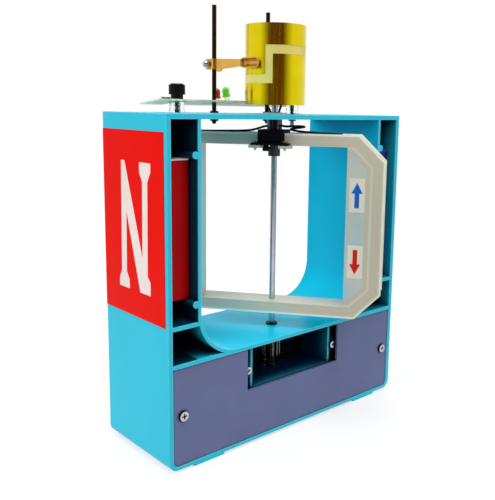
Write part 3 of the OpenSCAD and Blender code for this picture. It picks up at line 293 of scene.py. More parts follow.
class FinishTree:
    """A new material's nodes, with short ways to add those that the finishes share."""

    def __init__(self, name):
        self.material = bpy.data.materials.new(name)
        self.material.use_nodes = True
        self.tree = self.material.node_tree
        self.shader = self.tree.nodes["Principled BSDF"]
        self.coords = self.add("ShaderNodeTexCoord", {}).outputs["Object"]

    def feed(self, socket, value):
        """Links a socket into another, or sets its value."""
        if isinstance(value, NodeSocket):
            self.tree.links.new(value, socket)
        else:
            socket.default_value = value

    def add(self, kind, inputs, **settings):
        """A new node with its settings and inputs."""
        node = self.tree.nodes.new(kind)
        for key, value in settings.items():
            setattr(node, key, value)
        for key, value in inputs.items():
            self.feed(node.inputs[key], value)
        return node

    def shade(self, inputs):
        """Sets the shader's inputs and gives back the material."""
        for key, value in inputs.items():
            self.feed(self.shader.inputs[key], value)
        return self.material

    def noise(self, scale, detail=2.0, vector=None):
        """Cloudy noise from 0 to 1, at so many blots a metre."""
        inputs = {"Vector": vector or self.coords, "Scale": scale, "Detail": detail}
        return self.add("ShaderNodeTexNoise", inputs).outputs["Fac"]

    def stretched(self, scale):
        """The piece's coordinates, scaled along each axis, for streaks and brush lines."""
        return self.add("ShaderNodeMapping", {"Vector": self.coords, "Scale": scale}).outputs["Vector"]

    def spread(self, value, low=0.0, high=1.0, start=0.3, end=0.7):
        """A value between start and end, carried over to low and high."""
        inputs = {"Value": value, "From Min": start, "From Max": end, "To Min": low, "To Max": high}
        return self.add("ShaderNodeMapRange", inputs).outputs["Result"]

    def calc(self, operation, first, second=0.0):
        """One sum on two numbers."""
        return self.add("ShaderNodeMath", {0: first, 1: second}, operation=operation).outputs[0]

    def between(self, value, low, high):
        """1 where a value is between two, and 0 elsewhere."""
        above = self.calc("GREATER_THAN", value, low)
        return self.calc("MULTIPLY", above, self.calc("LESS_THAN", value, high))

    def inside(self, box):
        """1 inside a place of the body, and 0 elsewhere."""
        in_x, in_y, in_z = (self.between(value, *limits) for value, limits in zip(self.axes(), box))
        return self.calc("MULTIPLY", self.calc("MULTIPLY", in_x, in_y), in_z)

    def tone(self, share, first, second):
        """A colour between two, by share."""
        node = self.add("ShaderNodeMix", {0: share, 6: first, 7: second}, data_type="RGBA")
        return node.outputs[2]

    def mottle(self, value, colour, dark, light=1.0):
        """A colour that noise makes darker and lighter."""
        return self.tone(self.spread(value), scaled(colour, dark), scaled(colour, light))

    def relief(self, height, strength, depth, edge=None):
        """A bumpy normal from a height, with sharp edges rounded off where a radius is given."""
        inputs = {"Height": height, "Strength": strength, "Distance": depth}
        if edge:
            inputs["Normal"] = self.add("ShaderNodeBevel", {"Radius": edge}, samples=6).outputs["Normal"]
        return self.add("ShaderNodeBump", inputs).outputs["Normal"]

    def hollow(self, reach, alone=False):
        """1 on open faces, down to 0 in hollows narrower than the reach, of the piece alone or of all."""
        inputs = {"Distance": reach}
        return self.add("ShaderNodeAmbientOcclusion", inputs, samples=8, only_local=alone).outputs["AO"]

    def edges(self, radius):
        """1 along sharp outer edges, within about the radius, and 0 on faces and in corners."""
        rounded = self.add("ShaderNodeBevel", {"Radius": radius}, samples=6).outputs["Normal"]
        flat = self.add("ShaderNodeNewGeometry", {}).outputs["Normal"]
        match = self.add("ShaderNodeVectorMath", {0: rounded, 1: flat}, operation="DOT_PRODUCT")
        bent = self.spread(match.outputs["Value"], 1.0, 0.0, 0.80, 0.98)
        outer = self.spread(self.hollow(2 * radius, True), 0.0, 1.0, 0.8, 0.95)
        return self.calc("MULTIPLY", bent, outer)

    def axes(self, vector=None):
        """The three coordinates of a point."""
        return self.add("ShaderNodeSeparateXYZ", {0: vector or self.coords}).outputs


def moulded(name, colour, rough, gloss=0.15, cloud=60.0, grain=900.0, depth=0.05, outline=0.0):
    """A moulding with faint clouds, a fine grain, and, where an outline is given, painted shade in its
    corners and a painted shadow along its sharp edges.
    """
    kit = FinishTree(name)
    clouds = kit.noise(cloud, 3.0)
    fine = kit.noise(grain)
    paint = kit.mottle(clouds, colour, 0.93, 1.05)
    if outline:
        # Painted shade in corners, and a painted shadow line along sharp edges
        corner_shade = kit.spread(kit.hollow(2.5 * outline), 1.0, 0.0, 0.6, 0.97)
        paint = kit.tone(kit.calc("MAXIMUM", kit.edges(outline), corner_shade), paint, scaled(colour, 0.1))
    return kit.shade({
        "Base Color": paint,
        "Roughness": kit.spread(fine, rough - 0.05, rough + 0.05),
        "Specular IOR Level": gloss,
        "Normal": kit.relief(fine, depth, 0.0002, 0.35 * MM),
    })


def body_plastic(name, colours, deep, span, alone, hollows, fade, ears=1.0):
    """The body's moulding: painted highlights along its edges, painted bounce light in the coil channel,
    lighter on the deck, and painted shade in the hollows and beyond the ears' start.
    """
    kit = FinishTree(name)
    clouds = kit.noise(14.0, 3.0)
    fine = kit.noise(800.0)
    across, back, up = kit.axes()
    # Painted light: the coil channel takes the walls' painted bounce light, giving way to the deck's lighter
    # painted light towards the deck
    deck_z = COIL_CHANNEL[2][0]
    rise = kit.spread(up, 0.0, 1.0, deck_z, deck_z + DECK_RISE)
    painted_bounce = kit.tone(rise, colours.body_deck_light, colours.body_inner_bounce)
    shell = kit.tone(kit.inside(COIL_CHANNEL), colours.body, painted_bounce)
    face = kit.tone(kit.spread(clouds, 0.07, 0.0), shell, colours.body_shade)
    # Painted highlight: the body lightened along its sharp outer edges
    edge_highlighted = kit.tone(kit.calc("MULTIPLY", kit.edges(1.0 * MM), 0.7), face, colours.body_edge_highlight)
    # Painted shade: darker in hollows, beyond the ears' start, and inside the listed hollows, fading in from
    # their fronts
    light = kit.spread(kit.hollow(HOLLOW_REACH, alone), 0.0, 1.0, *span)
    light = kit.calc("MULTIPLY", light, kit.calc("LESS_THAN", kit.calc("ABSOLUTE", across), ears))
    for box, share in hollows:
        front = box[1][0]
        behind = kit.calc("MULTIPLY", kit.inside(box), kit.spread(back, 0.0, share, front, front + fade))
        light = kit.calc("MULTIPLY", light, kit.calc("SUBTRACT", 1.0, behind))
    return kit.shade({
        "Base Color": kit.tone(light, deep, edge_highlighted),
        "Roughness": kit.spread(fine, 0.27, 0.35),
        "Specular IOR Level": 0.1,
        "Normal": kit.relief(fine, 0.05, 0.0002, 0.35 * MM),
    })


def metal(name, colour, rough, stretch=EVEN, dark=0.8, depth=0.06, reach=0.0, highlighted=None):
    """Tarnished metal with fine lines, scaled by stretch along each axis.

    A reach paints shade, near black, in hollows narrower than it, and the last argument is the colour of a
    painted highlight along sharp edges.
    """
    kit = FinishTree(name)
    lines = kit.noise(1.0, 3.0, kit.stretched(stretch))
    stain = kit.noise(60.0, 3.0)
    paint = kit.mottle(stain, colour, dark)
    # Painted shade: near black in hollows narrower than the reach
    if reach:
        paint = kit.tone(kit.spread(kit.hollow(reach), 0.0, 1.0, 0.68, 0.98), scaled(colour, 0.01), paint)
    # Painted highlight along sharp edges
    if highlighted:
        paint = kit.tone(kit.edges(0.5 * MM), paint, highlighted)
    return kit.shade({
        "Base Color": paint,
        "Metallic": 1.0,
        "Roughness": kit.spread(lines, rough - 0.06, rough + 0.08),
        "Normal": kit.relief(lines, depth, 0.0001),
    })


def printed_film(name, colour):
    """A glossy printed plate with a slight waviness."""
    kit = FinishTree(name)
    waves = kit.noise(18.0)
    fine = kit.noise(1400.0, 1.0)
    return kit.shade({
        "Base Color": kit.mottle(waves, colour, 0.95, 1.04),
        "Roughness": kit.spread(fine, 0.30, 0.40),
        "Specular IOR Level": 0.04,
        "Normal": kit.relief(waves, 0.03, 0.0006),
    })


def magnet_paint(name, colour, line, node):
    """A node's magnet paint, with painted shade where it is shut in and a painted highlight along its upper
    edge.
    """
    kit = FinishTree(name)
    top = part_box(node)[1].z
    clouds = kit.noise(40.0, 3.0)
    paint = kit.mottle(clouds, colour, 0.85)
    # Painted shade where the magnet is shut in
    shut = kit.spread(kit.hollow(5 * MM), 1.0, 0.0, 0.45, 0.9)
    # Painted highlight along the upper edge
    edge = kit.calc("GREATER_THAN", kit.axes()["Z"], top - MAGNET_HIGHLIGHT)
    fine = kit.noise(500.0)
    return kit.shade({
        "Base Color": kit.tone(edge, kit.tone(shut, paint, scaled(colour, 0.08)), line),
        "Roughness": kit.spread(fine, 0.34, 0.46),
        "Specular IOR Level": 0.1,
        "Normal": kit.relief(fine, 0.05, 0.0002, 1.5 * MM),
    })


def coil_coords(kit, turn):
    """Coordinates along the coil, across it and up from its middle."""
    inputs = {"Vector": kit.coords, "Location": (AXIS.x, AXIS.y, COIL_MID_Z), "Rotation": (0.0, 0.0, -turn)}
    return kit.add("ShaderNodeMapping", inputs, vector_type="TEXTURE").outputs["Vector"]


def octagon_depth(kit, along, up, half, height, corner):
    """Distance of a point inside an octagon's edge: half width, half height and corner cut."""
    side = kit.calc("SUBTRACT", half, kit.calc("ABSOLUTE", along))
    bar = kit.calc("SUBTRACT", height, kit.calc("ABSOLUTE", up))
    slant = kit.calc("MULTIPLY", kit.calc("SUBTRACT", kit.calc("ADD", side, bar), corner), math.sqrt(0.5))
    return kit.calc("MINIMUM", kit.calc("MINIMUM", side, bar), slant)


def bobbin_plastic(colour, frame_reflection, tape, turn):
    """Milky plastic: a painted reflection of the blue frame, in clouds over the web, warm where the winding
    shows through, and a painted highlight along the outer edge.
    """
    kit = FinishTree("milky_bobbin")
    along, _, up = kit.axes(coil_coords(kit, turn))
    half = (FLANGE_HIGH.z - FLANGE_LOW.z) / 2
    deep = octagon_depth(kit, along, up, BOBBIN_HALF, half, BOBBIN_CORNER)
    web = kit.spread(kit.calc("SUBTRACT", kit.calc("ABSOLUTE", along), WEB_START), 0.0, 1.0, 0.0, 0.5 * MM)
    wound = kit.spread(deep, 1.0, 0.0, *WOUND_FADE)
    clouds = kit.noise(38.0, 3.0)
    # Painted reflection of the blue frame: in clouds over the web, and plain elsewhere
    cloudy = kit.tone(kit.spread(clouds), frame_reflection, scaled(colour, 0.95))
    plain = kit.tone(web, scaled(frame_reflection, 1.04), cloudy)
    rounds = kit.add("ShaderNodeCombineXYZ", {0: kit.calc("MULTIPLY", deep, 700.0)}).outputs[0]
    layers = kit.noise(1.0, 2.0, rounds)
    warm = kit.mottle(layers, tape, 0.90)
    step = kit.calc("ABSOLUTE", kit.calc("SUBTRACT", deep, STEP_DEPTH))
    line = kit.spread(step, 0.6, 0.0, 0.2 * MM, 1.2 * MM)
    face = kit.tone(wound, plain, kit.tone(line, warm, scaled(colour, 1.1)))
    # Painted highlight along the flange's outer edge
    rim_highlight = kit.spread(deep, 1.0, 0.0, *RIM_HIGHLIGHT_FADE)
    fine = kit.noise(600.0)
    return kit.shade({
        "Base Color": kit.tone(rim_highlight, face, scaled(colour, 1.3)),
        "Roughness": kit.spread(fine, 0.30, 0.42),
        "Specular IOR Level": 0.25,
        "Subsurface Weight": 0.12,
        "Subsurface Radius": (0.004, 0.004, 0.0035),
        "Subsurface Scale": 0.4,
        "Normal": kit.relief(fine, 0.04, 0.0002),
    })


def taped_winding(colour, turn):
    """Tape wrapped round the winding, with a lap line at each wrap."""
    kit = FinishTree("taped_winding")
    along, across, up = kit.axes(coil_coords(kit, turn))
    path = kit.calc("ADD", kit.calc("ADD", along, up), kit.calc("MULTIPLY", across, 0.35))
    lap = kit.calc("FRACT", kit.calc("MULTIPLY", path, 1 / TAPE_LAP))
    shade = kit.spread(lap, 0.80, 1.0, 0.0, 0.25)
    fibres = kit.noise(1500.0)
    paper = kit.mottle(fibres, colour, 0.88)
    return kit.shade({
        "Base Color": kit.tone(shade, scaled(colour, 0.35), paper),
        "Roughness": kit.spread(fibres, 0.5, 0.7),
        "Specular IOR Level": 0.2,
        "Normal": kit.relief(lap, 0.3, 0.0003),
    })


def clear_plastic(colour):
    """Clear moulded plastic."""
    kit = FinishTree("clear_insulator")
    ripple = kit.noise(420.0, 2.0, kit.stretched((1.0, 1.0, 1.6)))
    return kit.shade({
        "Base Color": colour,
        "Transmission Weight": 1.0,
        "IOR": 1.47,
        "Roughness": kit.spread(ripple, 0.04, 0.2),
        "Normal": kit.relief(ripple, 0.45, 0.0006),
    })


def lamp_epoxy(name, colour):
    """Tinted epoxy with faint swirls."""
    kit = FinishTree(name)
    swirl = kit.noise(500.0)
    return kit.shade({
        "Base Color": kit.mottle(swirl, colour, 0.8),
        "Roughness": kit.spread(swirl, 0.10, 0.20),
        "Subsurface Weight": 0.3,
        "Subsurface Radius": (0.003, 0.003, 0.003),
        "Subsurface Scale": 0.5,
        "Coat Weight": 0.4,
    })


def board_sheet(colour, green):
    """Thin pale board with faint green tracks on it."""
    kit = FinishTree("lamp_board")
    inputs = {"Vector": kit.stretched((60.0, 220.0, 60.0)), "Scale": 1.0}
    cells = kit.add("ShaderNodeTexVoronoi", inputs, feature="DISTANCE_TO_EDGE").outputs["Distance"]
    tracks = kit.spread(cells, 1.0, 0.0, 0.02, 0.08)
    clouds = kit.noise(90.0, 3.0)
    sheet = kit.mottle(clouds, colour, 0.88, 1.05)
    return kit.shade({
        "Base Color": kit.tone(kit.calc("MULTIPLY", tracks, 0.35), sheet, green),
        "Roughness": kit.spread(clouds, 0.22, 0.35),
        "Specular IOR Level": 0.4,
        "Normal": kit.relief(tracks, 0.1, 0.0001),
    })


def sticker_paper(colour):
    """Slightly yellowed paper."""
    kit = FinishTree("sticker_paper")
    fibres = kit.noise(1200.0, 4.0)
    return kit.shade({
        "Base Color": kit.mottle(fibres, colour, 0.94, 1.04),
        "Roughness": kit.spread(fibres, 0.55, 0.7),
        "Normal": kit.relief(fibres, 0.08, 0.0001),
    })


# Making pieces

def dress(material, *nodes):
    """Gives a finish to CAD nodes."""
    for name in nodes:
        mesh = frame["nodes"][name].data
        if mesh.materials:
            mesh.materials[0] = material
        else:
            mesh.materials.append(material)


def put(name, data):
    """A new object in the scene."""
    item = bpy.data.objects.new(name, data)
    bpy.context.scene.collection.objects.link(item)
    return item


def made(name, work):
    """The mesh of a shape that is worked out."""
    mesh = bpy.data.meshes.new(name)
    work.to_mesh(mesh)
    work.free()
    return mesh


def wire(tree, *links):
    """Links nodes, each row from an output of one to an input of another."""
    for source, output, target, socket in links:
        tree.links.new(source.outputs[output], target.inputs[socket])


def new_piece(name, mesh, material, body):
    """A piece of the object from a mesh that is already in place."""
    piece = put(name, mesh)
    mesh.materials.clear()
    mesh.materials.append(material)
    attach(piece, body)


def flat_mesh(name, faces, thickness, place):
    """Flat outlines of points in a plane, made as thick as ink and put in place."""
    work = bmesh.new()
    for outline in faces:
        corners = [work.verts.new((x, y, 0.0)) for x, y in outline]
        work.faces.new(corners)
    bmesh.ops.remove_doubles(work, verts=work.verts, dist=1e-7)
    raised = bmesh.ops.extrude_face_region(work, geom=work.faces[:])
    lifted = [item for item in raised["geom"] if isinstance(item, bmesh.types.BMVert)]
    bmesh.ops.translate(work, verts=lifted, vec=(0.0, 0.0, thickness))
    bmesh.ops.triangulate(work, faces=work.faces[:])
    bmesh.ops.recalc_face_normals(work, faces=work.faces[:])
    bmesh.ops.transform(work, matrix=place, verts=work.verts[:])
    return made(name, work)


def facing(origin, across, up):
    """A place whose X and Y run along across and up, with Z out of the face."""
    across = Vector(across).normalized()
    up = Vector(up).normalized()
    place = Matrix((across, up, across.cross(up))).transposed().to_4x4()
    place.translation = origin
    return place


def narrow_n():
    """Outline of a narrow N with flared feet, in millimetres."""
    top = OUTLINE_HEIGHT
    return [
        (-13.5, top), (-9.5, top), (9.2, 21.0), (10.0, 66.0), (7.0, 71.0), (7.0, top), (19.0, top),
        (19.0, 72.0), (15.6, 66.0), (14.6, 11.0), (17.5, 8.0), (17.5, 0.0), (6.2, 0.0), (-8.2, 47.0),
        (-9.0, 10.0), (-6.0, 5.5), (-6.0, 0.0), (-17.5, 0.0), (-17.5, 5.0), (-14.8, 10.0)]


def narrow_s(height, stroke):
    """Quads along a narrow S: two half-open rings, one on the other."""
    wide = 15.0 * MM
    tall = (height - stroke) / 4
    middle = height / 2
    steps = 24
    sweep = 250
    line = []
    for first, start, way in ((0, 20, 1), (1, 90, -1)):
        for step in range(first, steps + 1):
            angle = math.radians(start + way * sweep * step / steps)
            line.append(Vector((wide * math.cos(angle), middle + way * tall + tall * math.sin(angle))))
    edges = []
    for index, point in enumerate(line):
        ahead = line[min(index + 1, len(line) - 1)] - line[max(index - 1, 0)]
        side = Vector((-ahead.y, ahead.x)).normalized() * stroke / 2
        edges.append((point + side, point - side))
    return [[a[0], a[1], b[1], b[0]] for a, b in zip(edges, edges[1:])]


def arrow(width, height, turned):
    """Outline of a block arrow, pointing up or turned over."""
    head = 0.42 * height
    shaft = 0.42 * width / 2
    points = [
        (-shaft, 0.0), (shaft, 0.0), (shaft, height - head), (width / 2, height - head), (0.0, height),
        (-width / 2, height - head), (-shaft, height - head)]
    if turned:
        points = [(x, height - y) for x, y in reversed(points)]
    return points


# Geometry Nodes

def new_tree(name, inputs):
    """An empty geometry tree with a mesh input and named inputs of the given kinds."""
    tree = bpy.data.node_groups.new(name, "GeometryNodeTree")
    tree.interface.new_socket("Geometry", in_out="INPUT", socket_type="NodeSocketGeometry")
    for label, kind in inputs.items():
        tree.interface.new_socket(label, in_out="INPUT", socket_type=kind)
    tree.interface.new_socket("Geometry", in_out="OUTPUT", socket_type="NodeSocketGeometry")
    return tree, tree.nodes.new("NodeGroupInput"), tree.nodes.new("NodeGroupOutput")


def finish_tree(tree, entry, leave, shape, output):
    """Puts a node's shape on each point of the input, joins the copies and gives them their material."""
    spread = tree.nodes.new("GeometryNodeInstanceOnPoints")
    realise = tree.nodes.new("GeometryNodeRealizeInstances")
    paint = tree.nodes.new("GeometryNodeSetMaterial")
    wire(
        tree, (entry, "Geometry", spread, "Points"), (shape, output, spread, "Instance"),
        (spread, "Instances", realise, "Geometry"), (realise, "Geometry", paint, "Geometry"),
        (entry, "Material", paint, "Material"), (paint, "Geometry", leave, "Geometry"))
    return tree


def thread_tree():
    """A screw thread on each point: a round ridge swept along a helix."""
    tree, entry, leave = new_tree("Screw thread", {
        "Radius": "NodeSocketFloat", "Pitch": "NodeSocketFloat", "Turns": "NodeSocketFloat",
        "Ridge": "NodeSocketFloat", "Material": "NodeSocketMaterial"})
    helix = tree.nodes.new("GeometryNodeCurveSpiral")
    helix.inputs["Resolution"].default_value = 28
    rise = tree.nodes.new("ShaderNodeMath")
    rise.operation = "MULTIPLY"
    profile = tree.nodes.new("GeometryNodeCurvePrimitiveCircle")
    profile.inputs["Resolution"].default_value = 6
    sweep = tree.nodes.new("GeometryNodeCurveToMesh")
    sweep.inputs["Fill Caps"].default_value = True
    wire(
        tree, (entry, "Radius", helix, "Start Radius"), (entry, "Radius", helix, "End Radius"),
        (entry, "Turns", helix, "Rotations"), (entry, "Pitch", rise, 0), (entry, "Turns", rise, 1),
        (rise, 0, helix, "Height"), (entry, "Ridge", profile, "Radius"), (helix, "Curve", sweep, "Curve"),
        (profile, "Curve", sweep, "Profile Curve"))
    return finish_tree(tree, entry, leave, sweep, "Mesh")


def solder_tree():
    """A low round solder joint on each point."""
    tree, entry, leave = new_tree(
        "Solder joint", {"Radius": "NodeSocketFloat", "Material": "NodeSocketMaterial"})
    ball = tree.nodes.new("GeometryNodeMeshUVSphere")
    ball.inputs["Segments"].default_value = 16
    ball.inputs["Rings"].default_value = 8
    press = tree.nodes.new("GeometryNodeTransform")
    press.inputs["Scale"].default_value = (1.0, 1.0, 0.4)
    wire(tree, (entry, "Radius", ball, "Radius"), (ball, "Mesh", press, "Geometry"))
    return finish_tree(tree, entry, leave, press, "Geometry")


def grown_mesh(name, points, tree, values):
    """The plain mesh that a tree grows on some points."""
    seed = bpy.data.meshes.new(name)
    seed.from_pydata([tuple(point) for point in points], [], [])
    holder = put(name, seed)
    modifier = holder.modifiers.new("grow", "NODES")
    modifier.node_group = tree
    for item in tree.interface.items_tree:
        if item.in_out == "INPUT" and item.name in values:
            modifier[item.identifier] = values[item.name]
    graph = bpy.context.evaluated_depsgraph_get()
    mesh = bpy.data.meshes.new_from_object(holder.evaluated_get(graph))
    holder.modifiers.remove(modifier)
    bpy.data.objects.remove(holder)
    return mesh


# Operators

class GENERATOR_OT_body(Operator):
    """Finish the moulded frame, the bracket and the front panel"""
    bl_idname = "generator.body"
    bl_label = "Body and panel"

    def execute(self, context):
        colours = context.scene.generator_finish
        # Painted shade darkens the frame's and the bracket's hollows and the bracket's ears; the panel takes
        # painted shade in its corners and a painted shadow along its edges
        frame_finish = body_plastic(
            "body_plastic", colours, scaled(colours.body_shade, 0.5), span=(0.15, 0.5), alone=True,
            hollows=((LEFT_CELLS, SHUT_IN), (RIGHT_CELLS, HALF_OPEN), (BASE_INSIDE, SHUT_IN)), fade=1.0 * MM)
        bracket_finish = body_plastic(
            "bracket_plastic", colours, colours.body_shade, span=(0.35, 0.98), alone=False,
            hollows=((GEAR_WELL, SHUT_IN),), fade=11 * MM, ears=BRACKET_OUTER)
        # The panel's outline is a painted shadow round its edges
        panel_finish = moulded(
            "slate_panel", colours.panel, rough=0.5, cloud=30.0, grain=1200.0, depth=0.08, outline=0.8 * MM)
        dress(frame_finish, "main_frame")
        dress(bracket_finish, "gear_bracket")
        dress(panel_finish, "front_panel")
        return {"FINISHED"}


class GENERATOR_OT_magnets(Operator):
    """Finish the magnets and the pole plates"""
    bl_idname = "generator.magnets"
    bl_label = "Magnets and plates"

    def execute(self, context):
        colours = context.scene.generator_finish
        dress(printed_film("north_plate", colours.north), "pole_label_n")
        dress(printed_film("south_plate", colours.south), "pole_label_s")
        red = colours.north_magnet
        blue = colours.south_magnet
        # Painted shade where each magnet is shut in, and a painted highlight along its upper edge, a paler
        # blue on the south one
        dress(magnet_paint("north_paint", red, colours.magnet_highlight, "magnet_n"), "magnet_n")
        dress(magnet_paint("south_paint", blue, scaled(blue, 1.4), "magnet_s"), "magnet_s")
        return {"FINISHED"}


class GENERATOR_OT_letters(Operator):
    """Put the pole letters on the plates"""
    bl_idname = "generator.letters"
    bl_label = "Pole letters"

    def execute(self, context):
        marks = context.scene.generator_marks
        paint = printed_film("letter_film", context.scene.generator_finish.letter)
        scale = marks.letter_height / OUTLINE_HEIGHT
        outline = [(x * scale, y * scale) for x, y in narrow_n()]
        left = facing((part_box("pole_label_n")[0].x, 0.0, marks.letter_z), (0, -1, 0), (0, 0, 1))
        right = facing((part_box("pole_label_s")[1].x, 0.0, marks.letter_z), (0, 1, 0), (0, 0, 1))
        north = flat_mesh("letter_n", [outline], marks.ink, left)
        south = flat_mesh("letter_s", narrow_s(marks.letter_height, marks.letter_stroke), marks.ink, right)
        new_piece("letter_n", north, paint, "frame")
        new_piece("letter_s", south, paint, "frame")
        return {"FINISHED"}


class GENERATOR_OT_coil(Operator):
    """Finish the bobbin, its winding, the stickers and the leads"""
    bl_idname = "generator.coil"
    bl_label = "Coil"

    def execute(self, context):
        colours = context.scene.generator_finish
        turn = context.scene.generator_marks.coil_turn
        milky = bobbin_plastic(colours.bobbin, colours.bobbin_frame_reflection, colours.tape, turn)
        dress(milky, "coil_core", "coil_flange_front", "coil_flange_rear")
        dress(taped_winding(colours.tape, turn), "coil_winding")
        dress(sticker_paper(colours.sticker), "arrow_label_up", "arrow_label_down")
        rubber = moulded("lead_rubber", colours.black, rough=0.4, cloud=80.0, grain=700.0)
        dress(rubber, "lead_wire_left", "lead_wire_right")
        return {"FINISHED"}


class GENERATOR_OT_arrows(Operator):
    """Put the current arrows on their stickers"""
    bl_idname = "generator.arrows"
    bl_label = "Current arrows"

    def execute(self, context):
        colours = context.scene.generator_finish
        marks = context.scene.generator_marks
        along = Vector((math.cos(marks.coil_turn), -math.sin(marks.coil_turn), 0.0))
        up = Vector((0.0, 0.0, 1.0))
        out = along.cross(up)
        for name, colour, turned in (("up", colours.arrow_up, False), ("down", colours.arrow_down, True)):
            label = "arrow_label_" + name
            low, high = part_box(label)
            middle = (low + high) / 2
            corners = frame["nodes"][label].data.vertices
            lift = max(out.dot(Vector(corner.co) - middle) for corner in corners)
            foot = middle + out * lift - up * marks.arrow_height / 2
            outline = arrow(marks.arrow_width, marks.arrow_height, turned)
            mesh = flat_mesh("arrow_" + name, [outline], marks.ink, facing(foot, along, up))
            new_piece("arrow_" + name, mesh, printed_film("arrow_ink_" + name, colour), "rotor")
        return {"FINISHED"}


class GENERATOR_OT_rotor(Operator):
    """Finish the shaft, its sleeve, saddle and collar"""
    bl_idname = "generator.rotor"
    bl_label = "Shaft and hub"

    def execute(self, context):
        colours = context.scene.generator_finish
        collar = metal("dark_collar", colours.sleeve, rough=0.38, stretch=TURNED)
        black = moulded("hub_black", colours.black, rough=0.42, gloss=0.12)
        dress(metal("ground_shaft", colours.shaft, rough=0.22, stretch=DRAWN), "rotor_shaft")
        dress(metal("dark_sleeve", colours.sleeve, rough=0.16, stretch=TURNED), "rotor_sleeve")
        dress(collar, "shaft_collar", "pivot_bush")
        dress(moulded("bush_nylon", colours.nylon, rough=0.45, gloss=0.2), "top_bush")
        dress(black, "hub_saddle", "collar_screw", "floor_bush")
        return {"FINISHED"}


class GENERATOR_OT_commutator(Operator):
    """Finish the commutator's brass and core"""
    bl_idname = "generator.commutator"
    bl_label = "Commutator"

    def execute(self, context):
        colours = context.scene.generator_finish
        brass = metal(
            "drawn_brass", colours.ring_brass, rough=0.21, stretch=(700.0, 700.0, 18.0), dark=0.9,
            depth=0.014)
        dress(brass, "commutator_upper", "commutator_lower")
        dress(moulded("cream_core", colours.cream, rough=0.5, cloud=40.0), "commutator_core")
        return {"FINISHED"}


class GENERATOR_OT_brushes(Operator):
    """Finish the brush strips, their clamps and rods"""
    bl_idname = "generator.brushes"
    bl_label = "Brushes"

    def execute(self, context):
        colours = context.scene.generator_finish
        strip = metal("rolled_strip", colours.strip_brass, rough=0.34, stretch=ROLLED, dark=0.85)
        rod = metal("dark_rod", colours.dark_steel, rough=0.26, stretch=DRAWN)
        clamp = metal("polished_clamp", colours.steel, rough=0.12, stretch=(400.0, 400.0, 400.0))
        dress(strip, "brush_arm_left", "brush_arm_right")
        dress(rod, "brush_rod_left", "brush_rod_right", "rod_nuts")
        dress(clamp, "clamp_screw_left", "clamp_screw_right", "clamp_nut_left", "clamp_nut_right")
        return {"FINISHED"}


class GENERATOR_OT_fasteners(Operator):
    """Finish the screws and bearings"""
    bl_idname = "generator.fasteners"
    bl_label = "Screws and bearings"

    def execute(self, context):
        colours = context.scene.generator_finish
        # Painted shade, near black, in the screws' slots and round their heads
        bright = metal("bright_zinc", colours.steel, rough=0.18, reach=2.2 * MM)
        brass = metal("bush_brass", colours.bush_brass, rough=0.32, stretch=(60.0, 60.0, 900.0))
        dress(bright, "panel_screws", "bracket_screws", "saddle_screws", "post_studs", "post_nuts")
        dress(brass, "crank_bush", "post_insert_left", "post_insert_right")
        return {"FINISHED"}


class GENERATOR_OT_terminals(Operator):
    """Finish the binding posts"""
    bl_idname = "generator.terminals"
    bl_label = "Binding posts"

    def execute(self, context):
        colours = context.scene.generator_finish
        black = moulded("knob_black", colours.black, rough=0.36)
        dress(black, "post_knob_left", "post_knob_right")
        dress(clear_plastic(colours.clear), "post_insulators")
        return {"FINISHED"}


class GENERATOR_OT_board(Operator):
    """Finish the lamp board and what is on it, and add its solder joints"""
    bl_idname = "generator.board"
    bl_label = "Lamp board"

    def execute(self, context):
        colours = context.scene.generator_finish
        threads = context.scene.generator_threads
        dress(board_sheet(colours.board, colours.tracks), "led_board")
        dress(lamp_epoxy("green_lamp", colours.green_lamp), "led_green")
        dress(lamp_epoxy("red_lamp", colours.red_lamp), "led_red")
        lacquer = moulded("resistor_lacquer", colours.lacquer, rough=0.3, gloss=0.3, cloud=300.0)
        dress(lacquer, "board_resistor")
        points = [foot + side * LEG_STEP for foot in LAMP_FEET for side in (-1, 1)]
        tin = metal("solder_tin", colours.steel, rough=0.3)
        mesh = grown_mesh("solder_joints", points, solder_tree(), {"Radius": threads.solder, "Material": tin})
        new_piece("solder_joints", mesh, tin, "frame")
        return {"FINISHED"}


class GENERATOR_OT_threads(Operator):
    """Put the threads on the rods and studs"""
    bl_idname = "generator.threads"
    bl_label = "Threads"

    def execute(self, context):
        colours = context.scene.generator_finish
        sizes = context.scene.generator_threads
        tree = thread_tree()
        steel = metal("thread_steel", colours.steel, rough=0.3)
        dark = metal("thread_dark", colours.dark_steel, rough=0.3)
        rods = []
        for node in ("brush_rod_left", "brush_rod_right"):
            low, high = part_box(node)
            rods.append(((low.x + high.x) / 2, (low.y + high.y) / 2, low.z + ROD_POINT))
        # The rods have the studs' thread, so both take its radius
        low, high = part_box("post_studs")
        radius = (high.y - low.y) / 2
        studs = [(x, (low.y + high.y) / 2, low.z + STUD_END) for x in (low.x + radius, high.x - radius)]
        for name, points, turns, paint, slot in (
                ("rod_threads", rods, sizes.rod_turns, dark, "dark_steel"),
                ("stud_threads", studs, sizes.stud_turns, steel, "steel")):
            values = {
                "Radius": radius, "Pitch": sizes.pitch, "Turns": float(turns), "Ridge": sizes.ridge,
                "Material": paint}
            mesh = grown_mesh(name, points, tree, values)
            new_piece(name, mesh, paint, "frame")
        return {"FINISHED"}


